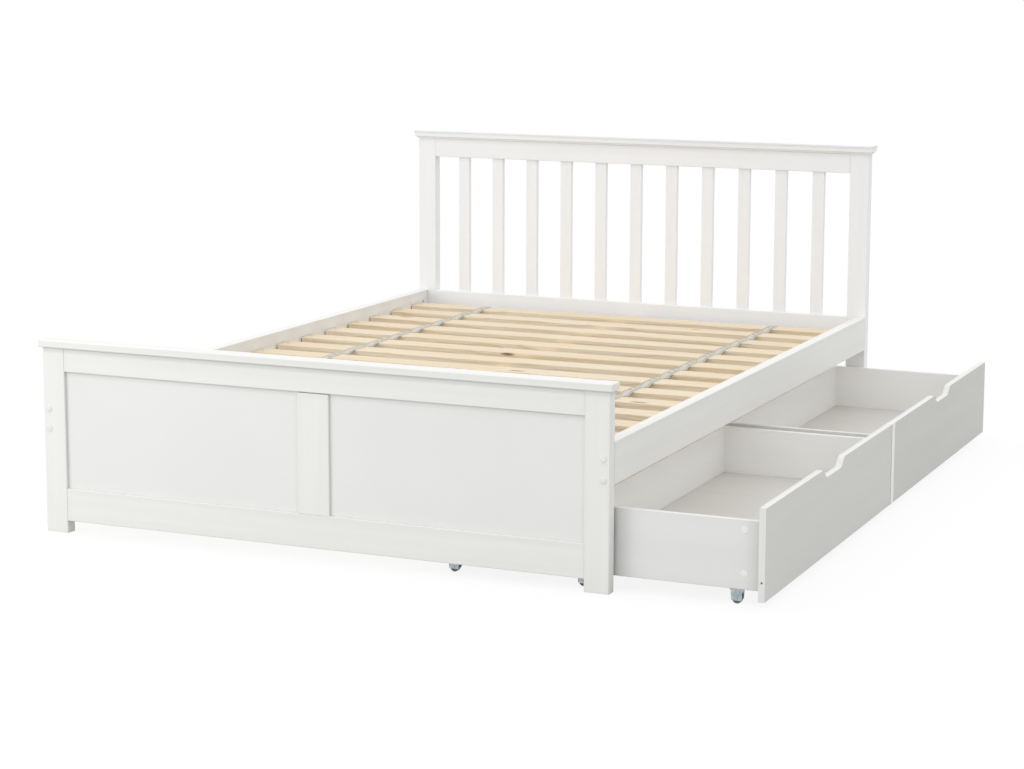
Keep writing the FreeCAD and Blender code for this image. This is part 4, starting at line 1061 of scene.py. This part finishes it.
@dataclass
class Finishes:
    """Every finish of the bed, built once and shared."""

    bottom_middle: float
    slat_start: float
    slat_pitch: float
    tape_wide_mm: float

    def build(self) -> dict[str, bpy.types.Material]:
        """Makes all the materials.

        Returns:
            Each material by a short name.
        """
        # The near sides and battens get a grey painted shade close to a post, standing in for its shadow.
        outer = {"colour": "eeeeed", "pore": "e8e9e7", "edging": "efefed", "painted_post_shade": "b0b0af"}
        # The far sides, back and divider are painted lighter than the near sides: painted light for the light
        # that reaches into the drawers.
        inner_painted_lighter = {"colour": "fdfdfc", "pore": "f8f8f7", "edging": "f6f6f4"}
        # The head end's paint is painted lighter and cooler than the foot end's: painted light for the lamp's
        # light that falls off towards the head. Its ledge shade is painted lighter too.
        head = {"colour": "fafbfd", "streak": "f5f6f9", "thin_edge": "fafaf9", "painted_ledge_shade": "e9eaeb"}
        finishes = {
            "paint_x": SatinPaintOnPine("satin_paint_on_pine_across", Axis.X),
            "paint_y": SatinPaintOnPine("satin_paint_on_pine_along", Axis.Y),
            "paint_z": SatinPaintOnPine("satin_paint_on_pine_upright", Axis.Z),
            "head_paint_x_painted_lighter": SatinPaintOnPine("satin_paint_on_head_rails_painted_lighter", Axis.X, **head),
            "head_paint_z_painted_lighter": SatinPaintOnPine("satin_paint_on_head_uprights_painted_lighter", Axis.Z, **head),
            "panel": RollerPaintOnFibreboard("roller_paint_on_fibreboard"),
            # The fronts are painted greyer than the other drawer boards: painted shade for faces turned away
            # from the lamp. The farther head front is greyer still.
            "foot_front": FoilOnChipboard("foil_on_foot_drawer_front_painted_shade", Axis.Y, Axis.X, "d4d5d0", "cecfca"),
            "head_front": FoilOnChipboard("foil_on_head_drawer_front_painted_shade", Axis.Y, Axis.X, "cdcec9", "c7c8c3"),
            "outer_side": FoilOnChipboard("foil_on_near_drawer_sides_with_painted_shade", Axis.X, Axis.Y, **outer),
            "inner_side": FoilOnChipboard("foil_on_far_drawer_sides_painted_lighter", Axis.X, Axis.Y, **inner_painted_lighter),
            "board_y": FoilOnChipboard("foil_on_drawer_cross_boards_painted_lighter", Axis.Y, Axis.X, **inner_painted_lighter),
            "batten": FoilOnChipboard("foil_on_drawer_battens_with_painted_shade", Axis.Y, Axis.Z, **outer),
            "bottom": LacqueredHardboard("lacquered_hardboard", self.bottom_middle),
            "slats": PlanedPine("planed_pine_slats", Axis.X, Axis.Y, self.slat_start, self.slat_pitch),
            "bearers": PlanedPine("planed_pine_bearers", Axis.Y, Axis.X, row_start=-1.0, row_pitch=0.37),
            "beech": PlanedPine("turned_beech", Axis.X, Axis.Y, row_start=-2.0, row_pitch=0.06, ring_mm=1.4,
                                early="d9b184", late="c2905e", heart="cfa272", knot="b07f50"),
            "zinc": ZincPlate("zinc_plated_steel"),
            "coated": PowderCoat("powder_coated_steel"),
            "wheel": MouldedPlastic("moulded_grey_nylon", "7c8386", "6c7275", roughness=0.4),
            "black": MouldedPlastic("moulded_black_polythene", "2b2c2e", "222325", roughness=0.46),
            "white": MouldedPlastic("moulded_white_polythene", "f0f0ee", "eaeae7", roughness=0.4),
            "strip": MouldedPlastic("extruded_white_strip", "fbfbf9", "f6f6f3", roughness=0.38),
            # The lock covers are painted brighter than the other white plastic: partly their own white,
            # partly a painted highlight.
            "cover": MouldedPlastic("moulded_white_polythene_with_painted_highlight", "f7f7f6", "f3f3f2", roughness=0.36),
            "tape": WovenTape("woven_polyester_tape", self.tape_wide_mm),
        }
        return {key: finish.build() for key, finish in finishes.items()}


@dataclass
class PaintedEnds:
    """The panelled foot end, the slatted head end and the two side rails, all painted white."""

    nodes: dict[str, bpy.types.Object]
    finish: dict[str, bpy.types.Material]
    cover_radius: float = 8.0 * MM
    cover_thick: float = 1.5 * MM
    plug_radius: float = 6.2 * MM
    plug_long: float = 4.0 * MM
    bolt_inset: float = 15.0 * MM
    bolt_rises: tuple[float, float] = (15.0 * MM, 63.0 * MM)

    def dress(self) -> None:
        """Finishes the painted boards and the hidden dowels and rail bolts."""
        head = ["head_top_rail", "head_bottom_rail", "head_moulding", "head_cap"]
        upright = ["foot_post_left", "foot_post_right", "foot_muntin"]
        dress(self.nodes, ["foot_top_rail", "foot_bottom_rail", "foot_cap"], self.finish["paint_x"])
        dress(self.nodes, ["side_rail_left", "side_rail_right"], self.finish["paint_y"])
        dress(self.nodes, upright, self.finish["paint_z"])
        dress(self.nodes, head, self.finish["head_paint_x_painted_lighter"])
        dress(self.nodes, ["head_post_left", "head_post_right", "head_slats"], self.finish["head_paint_z_painted_lighter"])
        dress(self.nodes, ["foot_panel_left", "foot_panel_right"], self.finish["panel"])
        dress(self.nodes, ["dowels"], self.finish["beech"])
        dress(self.nodes, ["rail_bolts", "barrel_nuts"], self.finish["zinc"])

    def cover_bolts(self) -> None:
        """Sets a domed cover over each rail bolt, on the posts' outer faces."""
        cover = DomedCover(self.cover_radius, self.cover_thick, self.plug_radius, self.plug_long).surface()
        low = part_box("foot_post_left")[0]
        across = low.x + self.bolt_inset
        rail_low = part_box("side_rail_left")[0].z
        shell = Shell()
        for face, aim in ((low.y, -1.0), (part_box("head_post_left")[1].y, 1.0)):
            for side in (-1, 1):
                for rise in self.bolt_rises:
                    place = np.array([side * abs(across), face, rail_low + rise])
                    shell.add_grid(aimed(cover, place, aim * ALONG))
        covers = shell.piece("bolt_covers", "frame", "white_plastic", self.finish["white"])
        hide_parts("bolt_caps")


@dataclass
class SlattedBase:
    """Ledgers, slats, the middle beam with its brackets, and its leg."""

    nodes: dict[str, bpy.types.Object]
    finish: dict[str, bpy.types.Material]
    slat_start: float
    slat_pitch: float
    slat_count: int = 14
    slat_wide: float = 70.0 * MM
    tape_wide: float = 28.0 * MM
    tape_thick: float = 1.1 * MM
    tape_across: float = 0.47
    tape_dip: float = 5.0 * MM
    tape_end: float = 6.0 * MM
    tape_rows: int = 560
    tape_corners: int = 16
    staple_wide: float = 11.0 * MM
    staple_wire: float = 1.3 * MM
    staple_bend: float = 1.2 * MM
    staple_leg: float = 2.0 * MM
    staple_off_middle: float = 0.24
    staple_lift: float = 0.3
    slat_screw_inset: float = 14.0 * MM
    slat_screw_proud: float = 0.25 * MM
    ledger_screw_long: float = 42.0 * MM
    ledger_screw_margin: float = 110.0 * MM
    ledger_screw_count: int = 6
    ledger_screw_rise: float = 23.25 * MM
    ledger_screw_proud: float = 0.1 * MM

    def dress(self) -> None:
        """Finishes the base's boards and steel."""
        dress(self.nodes, ["bed_slats"], self.finish["slats"])
        dress(self.nodes, ["ledger_left", "ledger_right", "mid_beam"], self.finish["bearers"])
        dress(self.nodes, ["beam_brackets", "ledger_screws", "bracket_screws"], self.finish["zinc"])
        dress(self.nodes, ["centre_leg"], self.finish["coated"])
        dress(self.nodes, ["centre_foot"], self.finish["black"])

    def slat_middles(self) -> np.ndarray:
        """The middle line of each slat, along the bed."""
        return self.slat_start + self.slat_wide / 2 + self.slat_pitch * np.arange(self.slat_count)

    def tapes(self) -> None:
        """Lays two tapes along the bed over the slats, stapled to each.

        Between two slats a tape dips by half a cosine: its drop is the dip times one minus the cosine of the
        gap's share times a full turn, over two. Over a slat it lies flat.
        """
        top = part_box("bed_slats")[1].z
        low = self.slat_start
        high = low + self.slat_wide + self.slat_pitch * (self.slat_count - 1)
        run = np.linspace(low + self.tape_end, high - self.tape_end, self.tape_rows)
        in_pitch = np.mod(run - low, self.slat_pitch)
        gap_share = np.clip((in_pitch - self.slat_wide) / (self.slat_pitch - self.slat_wide), 0, 1)
        lift = self.tape_thick / 2 - self.tape_dip * (1 - np.cos(TAU * gap_share)) / 2
        shell = Shell()
        for across in (-self.tape_across, self.tape_across):
            path = np.stack([np.full_like(run, across), run, top + lift], 1)
            grid = swept(path, ACROSS, self.tape_wide, self.tape_thick, self.tape_corners)
            spread = grid[..., 0] - across
            length = np.repeat(np.concatenate([run[:1], run, run[-1:]])[:, None], self.tape_corners, 1)
            shell.add_grid(grid, marks=np.stack([spread, length], -1))
        shell.piece("slat_tapes", "frame", "raw_pine", self.finish["tape"])

    def staples(self) -> None:
        """Drives two staples through each tape into each slat: a flat crown whose ends turn down."""
        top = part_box("bed_slats")[1].z + self.tape_thick
        turn = np.linspace(0, math.pi / 2, 4)
        bend = self.staple_bend
        half = self.staple_wide / 2
        left = np.stack([-half + bend * (1 - np.sin(turn)), 0 * turn, -bend * (1 - np.cos(turn))], 1)[::-1]
        leg = np.array([[-half, 0.0, -bend - self.staple_leg]])
        mirror = np.array([-1.0, 1.0, 1.0])
        path = np.concatenate([leg, left, left[::-1] * mirror, leg * mirror])
        wire_bend = swept(path, ALONG, self.staple_wire, self.staple_wire, corners=8)
        shell = Shell()
        for across in (-self.tape_across, self.tape_across):
            for middle in self.slat_middles():
                for off in (-self.staple_off_middle, self.staple_off_middle):
                    shell.add_grid(wire_bend + np.array([
                        across, middle + off * self.slat_wide, top + self.staple_wire * self.staple_lift,
                    ]))
        shell.piece("tape_staples", "frame", "zinc_steel", self.finish["zinc"])

    def slat_screws(self) -> None:
        """Screws each slat down at both ends, flush with its top."""
        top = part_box("bed_slats")[1].z
        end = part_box("bed_slats")[1].x - self.slat_screw_inset
        screw = WoodScrew().surface()
        shell = Shell()
        for across in (-end, end):
            for middle in self.slat_middles():
                shell.add_grid(aimed(screw, np.array([across, middle, top + self.slat_screw_proud]), UP))
        shell.piece("slat_screws", "frame", "zinc_steel", self.finish["zinc"])

    def ledger_screws(self) -> None:
        """Replaces the ledger screws with ones whose heads show their recess."""
        screw = WoodScrew(shank_long=self.ledger_screw_long).surface()
        shell = Shell()
        for name, side in (("ledger_left", -1), ("ledger_right", 1)):
            low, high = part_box(name)
            face = high.x if side < 0 else low.x
            run = high.y - low.y - 2 * self.ledger_screw_margin
            for step in range(self.ledger_screw_count):
                far = low.y + self.ledger_screw_margin + run * step / (self.ledger_screw_count - 1)
                place = np.array([face + side * self.ledger_screw_proud, far, low.z + self.ledger_screw_rise])
                shell.add_grid(aimed(screw, place, -side * ACROSS))
        screws = shell.piece("recessed_ledger_screws", "frame", "zinc_steel", self.finish["zinc"])
        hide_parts("ledger_screws")


@dataclass
class Drawer:
    """One drawer: its boards, the covers on its sides, and its six castors."""

    name: str
    front_finish: str
    nodes: dict[str, bpy.types.Object]
    finish: dict[str, bpy.types.Material]
    cover_radius: float = 8.5 * MM
    cover_thick: float = 0.8 * MM
    plug_radius: float = 7.4 * MM
    plug_long: float = 5.0 * MM
    cover_back: float = 41.0 * MM
    cover_rises: tuple[float, float] = (35.0 * MM, 133.0 * MM)
    plate_half_long: float = 15.0 * MM
    plate_half_wide: float = 14.0 * MM
    plate_thick: float = 2.0 * MM
    cheek_inner: float = 7.0 * MM
    cheek_outer: float = 9.0 * MM
    cheek_top_half: float = 13.5 * MM
    cheek_low_half: float = 11.5 * MM
    cheek_below_axle: float = 3.5 * MM
    web_drop: float = 8.0 * MM
    web_thick: float = 1.2 * MM
    web_inset: float = 0.7 * MM
    web_lip: float = 1.2 * MM
    web_curl_from: float = 0.3
    screw_long_edge: float = 3.6 * MM
    screw_wide_edge: float = 2.4 * MM
    screw_sunk: float = 0.3 * MM
    rivet_radius: float = 3.1 * MM
    rivet_rises: tuple[float, float] = (0.2 * MM, 1.0 * MM)
    rivet_dome: float = 0.7 * MM
    rivet_sides: int = 24
    hub_radius: float = 4.05 * MM
    rim_radius: float = 8.0 * MM
    rib_count: int = 6
    rib_bite: float = 0.3 * MM
    rib_sunk: float = 1.1 * MM
    rib_wide: float = 1.4 * MM
    rib_thick: float = 1.3 * MM

    def node(self, piece: str) -> str:
        """The full name of one of the drawer's nodes."""
        return f"{self.name}_{piece}"

    def dress(self) -> None:
        """Finishes the drawer's boards, castor housings and wheels."""
        dress(self.nodes, [self.node("front")], self.finish[self.front_finish])
        dress(self.nodes, [self.node("side_a")], self.finish["outer_side"])
        dress(self.nodes, [self.node("side_b")], self.finish["inner_side"])
        dress(self.nodes, [self.node("back"), self.node("divider")], self.finish["board_y"])
        dress(self.nodes, [self.node("battens")], self.finish["batten"])
        dress(self.nodes, [self.node("bottom")], self.finish["bottom"])
        dress(self.nodes, [self.node("castor_mounts")], self.finish["zinc"])
        dress(self.nodes, self.wheels(), self.finish["wheel"])

    def wheels(self) -> list[str]:
        """The names of the six wheels, which are also the names of their bodies."""
        return [self.node(f"{row}_wheel_{end}") for row in ("front", "middle", "rear") for end in ("a", "b")]

    def wheel_middle(self, wheel: str) -> np.ndarray:
        """The middle of a wheel."""
        low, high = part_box(wheel)
        return np.array((low + high) / 2)

    def covers(self) -> None:
        """Sets a domed cover over each corner lock, on the outside of both sides."""
        cover = DomedCover(self.cover_radius, self.cover_thick, self.plug_radius, self.plug_long).surface()
        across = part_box(self.node("front"))[0].x - self.cover_back
        shell = Shell()
        for piece, aim in (("side_a", -1.0), ("side_b", 1.0)):
            low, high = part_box(self.node(piece))
            face = low.y if aim < 0 else high.y
            for rise in self.cover_rises:
                place = np.array([across, face, low.z + rise])
                shell.add_grid(aimed(cover, place, aim * ALONG))
        covers = shell.piece(self.node("lock_covers"), self.name, "white_plastic", self.finish["cover"])
        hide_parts(self.node("cam_caps"))

    def housing_webs(self) -> None:
        """Closes the front and back of each castor housing with a pressed web.

        A web follows the cheeks' sloping edge from the plate down, and its free lip curls outwards by
        nearly a quarter round.
        """
        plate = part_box(self.node("castor_mounts"))[1].z - self.plate_thick
        shell = Shell()
        drop = np.linspace(0.0, self.web_drop, 6)
        curl = np.linspace(self.web_curl_from, math.pi / 2, 5)
        for wheel in self.wheels():
            middle = self.wheel_middle(wheel)
            high = plate - (middle[2] - self.cheek_below_axle)
            slope = (self.cheek_top_half - self.cheek_low_half) / high
            inset = self.cheek_top_half - self.web_inset - slope * drop
            out = np.concatenate([inset, inset[-1] + self.web_lip * (1 - np.cos(curl))])
            down = np.concatenate([drop, drop[-1] + self.web_lip * np.sin(curl)])
            for way in (-1, 1):
                path = np.stack([middle[0] + way * out, np.full_like(out, middle[1]), plate - down], 1)
                shell.add_grid(swept(path, ALONG, 2 * self.cheek_inner, self.web_thick, corners=16))
        shell.piece(self.node("castor_webs"), self.name, "zinc_steel", self.finish["zinc"])

    def housing_screws(self) -> None:
        """Fixes each housing's plate to its batten with four small screws, seen from below."""
        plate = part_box(self.node("castor_mounts"))[1].z - self.plate_thick
        screw = WoodScrew(
            head_radius=2.2 * MM, shank_radius=1.2 * MM, cone_high=1.3 * MM, shank_long=6.0 * MM,
            recess_reach=1.4 * MM, recess_half_wide=0.5 * MM, recess_deep=0.9 * MM, sides=20,
        ).surface()
        off_x = self.plate_half_long - self.screw_long_edge
        off_y = self.plate_half_wide - self.screw_wide_edge
        shell = Shell()
        for wheel in self.wheels():
            middle = self.wheel_middle(wheel)
            for along in (-1, 1):
                for across in (-1, 1):
                    place = np.array([
                        middle[0] + along * off_x, middle[1] + across * off_y, plate - self.screw_sunk,
                    ])
                    shell.add_grid(aimed(screw, place, -UP))
        shell.piece(self.node("castor_screws"), self.name, "zinc_steel", self.finish["zinc"])

    def rivets(self) -> None:
        """Domes the two ends of each axle where they are peened over the cheeks.

        A dome's height at a radius is its rise times the square root of one minus the radius share squared.
        """
        low, rim = self.rivet_rises
        share = np.array([1.0, 0.97, 0.85, 0.6, 0.3, 0.0])
        dome = np.stack([share * self.rivet_radius, rim + self.rivet_dome * np.sqrt(1 - share ** 2)], 1)
        foot = np.array([[0.0, low], [self.rivet_radius, low]])
        surface = turned(np.concatenate([foot, dome]), self.rivet_sides)
        shell = Shell()
        for wheel in self.wheels():
            middle = self.wheel_middle(wheel)
            for way in (-1, 1):
                shell.add_grid(aimed(surface, middle + way * self.cheek_outer * ALONG, way * ALONG))
        shell.piece(self.node("axle_rivets"), self.name, "zinc_steel", self.finish["zinc"])

    def wheel_ribs(self) -> None:
        """Stiffens each wheel's hollow flanks with moulded ribs between hub and rim."""
        reach = np.linspace(self.hub_radius - self.rib_bite, self.rim_radius + self.rib_bite, 5)
        for wheel in self.wheels():
            low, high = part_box(wheel)
            middle = self.wheel_middle(wheel)
            half_wide = (high.y - low.y) / 2
            shell = Shell()
            for way in (-1, 1):
                for step in range(self.rib_count):
                    angle = TAU * step / self.rib_count
                    out = np.array([math.cos(angle), 0.0, math.sin(angle)])
                    side = np.array([-math.sin(angle), 0.0, math.cos(angle)])
                    start = middle + way * (half_wide - self.rib_sunk) * ALONG
                    path = start + reach[:, None] * out
                    shell.add_grid(swept(path, side, self.rib_wide, self.rib_thick, corners=8))
            shell.piece(wheel + "_ribs", wheel, "grey_nylon", self.finish["wheel"])


@dataclass
class FrontStrip:
    """The white plastic strip on the head drawer's front where the two fronts meet.

    It closes most of the joint, and its thin lip laps round the corner on to the front's face, so that the
    joint shows as a light upright line.
    """

    finish: dict[str, bpy.types.Material]
    into_joint: float = 13.0 * MM
    lip_lap: float = 12.0 * MM
    lip_thick: float = 1.2 * MM
    lip_proud: float = 0.7 * MM
    seated: float = 0.3 * MM

    def fit(self) -> None:
        """Makes the strip's two legs: one fills the joint, the other is the lip on the face."""
        low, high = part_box("head_drawer_front")
        near = low.y - self.into_joint
        fill = np.array([(low.x + high.x) / 2, (near + low.y + self.seated) / 2])
        lip = np.array([high.x + self.lip_proud - self.lip_thick / 2, (near + low.y + self.lip_lap) / 2])
        rise = np.array([[low.z], [low.z + self.seated], [high.z - self.seated], [high.z]])
        legs = (
            (fill, self.into_joint + self.seated, high.x - low.x),
            (lip, self.into_joint + self.lip_lap, self.lip_thick),
        )
        shell = Shell()
        for place, wide, thick in legs:
            path = np.hstack([np.repeat(place[None], len(rise), 0), rise])
            shell.add_grid(swept(path, ALONG, wide, thick, corners=40))
        shell.piece("head_drawer_front_strip", "head_drawer", "white_plastic", self.finish["strip"])


@dataclass
class Studio:
    """A plain white sweep, soft light from the front left and an even surround, and the camera."""

    camera_place: tuple[float, float, float] = (2.6069, -5.7667, 1.3771)
    heading: float = math.radians(22.552)
    tilt: float = math.radians(-8.829)
    roll: float = math.radians(0.350)
    lens_mm: float = 83.654
    sensor_mm: float = 36.0
    sight: float = 100.0
    shift: tuple[float, float] = (-0.0586, -0.0524)
    floor_half: float = 30.0
    horizon: float = 0.76
    zenith: float = 1.20
    key_power: float = 48.0
    key_place: tuple[float, float, float] = (-3.2, -4.2, 1.5)
    key_aim: tuple[float, float, float] = (0.1, 0.0, 0.3)
    key_side: float = 2.0

    def camera(self) -> None:
        """Stands the camera at its place with its heading, tilt and roll."""
        right = Vector((math.cos(self.heading), math.sin(self.heading), 0.0))
        level = Vector((-right.y, right.x, 0.0))
        ahead = math.cos(self.tilt) * level + math.sin(self.tilt) * Vector(UP)
        upward = right.cross(ahead)
        rolled_right = math.cos(self.roll) * right + math.sin(self.roll) * upward
        rolled_up = math.cos(self.roll) * upward - math.sin(self.roll) * right
        data = bpy.data.cameras.new("camera")
        data.sensor_width = self.sensor_mm
        data.lens = self.lens_mm
        data.shift_x, data.shift_y = self.shift
        data.clip_end = self.sight
        camera = bpy.data.objects.new("camera", data)
        turn = Matrix((rolled_right, rolled_up, -ahead)).transposed().to_4x4()
        camera.matrix_world = Matrix.Translation(self.camera_place) @ turn
        bpy.context.scene.collection.objects.link(camera)
        bpy.context.scene.camera = camera

    def floor(self) -> None:
        """Lays the sweep, a wide flat sheet at the floor's level."""
        half = self.floor_half
        mesh = bpy.data.meshes.new("studio_floor")
        mesh.from_pydata([(-half, -half, 0), (half, -half, 0), (half, half, 0), (-half, half, 0)], [],
                         [(0, 1, 2, 3)])
        mesh.materials.append(WhiteSweep().build())
        sheet = bpy.data.objects.new("studio_floor", mesh)
        bpy.context.scene.collection.objects.link(sheet)

    def light(self) -> None:
        """Lights the room softly from all round, and hangs the lamp.

        The surround brightens from the horizon to the zenith in step with the sine of the elevation, so
        that drawers and other hollows are lit from above without the tops clipping. Seen straight it is
        plain white.
        """
        world = bpy.data.worlds.new("studio_surround")
        world.use_nodes = True
        bpy.context.scene.world = world
        tree = world.node_tree
        tree.nodes.clear()
        toward = add(tree, "ShaderNodeTexCoord").outputs["Generated"]
        rise = add(tree, "ShaderNodeSeparateXYZ", {"Vector": toward}).outputs["Z"]
        room = add(tree, "ShaderNodeMapRange", {"Value": rise, "To Min": self.horizon, "To Max": self.zenith})
        off_white = add(tree, "ShaderNodeMath", {0: room, 1: 1.0}, operation="SUBTRACT")
        unseen = add(tree, "ShaderNodeMath", {0: 1.0, 1: direct_share(tree)}, operation="SUBTRACT")
        strength = add(tree, "ShaderNodeMath", {0: off_white, 1: unseen, 2: 1.0}, operation="MULTIPLY_ADD")
        glow = add(tree, "ShaderNodeBackground", {"Color": WHITE, "Strength": strength})
        add(tree, "ShaderNodeOutputWorld", {"Surface": glow}, is_active_output=True)
        self.key_lamp()

    def key_lamp(self) -> None:
        """Hangs the large soft lamp and turns it towards the bed."""
        lamp = bpy.data.lights.new("key_softbox", "AREA")
        lamp.shape = "SQUARE"
        lamp.size = self.key_side
        lamp.energy = self.key_power
        key = bpy.data.objects.new("key_softbox", lamp)
        aim = Vector(self.key_aim) - Vector(self.key_place)
        turn = aim.to_track_quat("-Z", "Y").to_matrix().to_4x4()
        key.matrix_world = Matrix.Translation(self.key_place) @ turn
        key.visible_camera = False
        bpy.context.scene.collection.objects.link(key)


def main() -> None:
    """Loads the frame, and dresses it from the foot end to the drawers."""
    logging.basicConfig(level=logging.INFO, format="%(name)s: %(message)s")
    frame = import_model()
    bpy.context.scene.view_settings.view_transform = "Standard"
    nodes = frame["nodes"]

    slat_low, slat_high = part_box("bed_slats")
    slat_count, slat_wide = SlattedBase.slat_count, SlattedBase.slat_wide
    slat_pitch = (slat_high.y - slat_low.y - slat_wide) / (slat_count - 1)
    bottom_low, bottom_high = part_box("foot_drawer_bottom")
    finish = Finishes(
        bottom_middle=(bottom_low.z + bottom_high.z) / 2,
        slat_start=slat_low.y - (slat_pitch - slat_wide) / 2,
        slat_pitch=slat_pitch,
        tape_wide_mm=SlattedBase.tape_wide / MM,
    ).build()

    studio = Studio()
    studio.camera()
    studio.floor()
    studio.light()

    ends = PaintedEnds(nodes, finish)
    ends.dress()
    ends.cover_bolts()

    base = SlattedBase(nodes, finish, slat_low.y, slat_pitch)
    base.dress()
    base.tapes()
    base.staples()
    base.slat_screws()
    base.ledger_screws()

    for end in ("foot", "head"):
        drawer = Drawer(end + "_drawer", end + "_front", nodes, finish)
        drawer.dress()
        drawer.covers()
        drawer.housing_webs()
        drawer.housing_screws()
        drawer.rivets()
        drawer.wheel_ribs()
    FrontStrip(finish).fit()


if __name__ == "__main__":
    main()
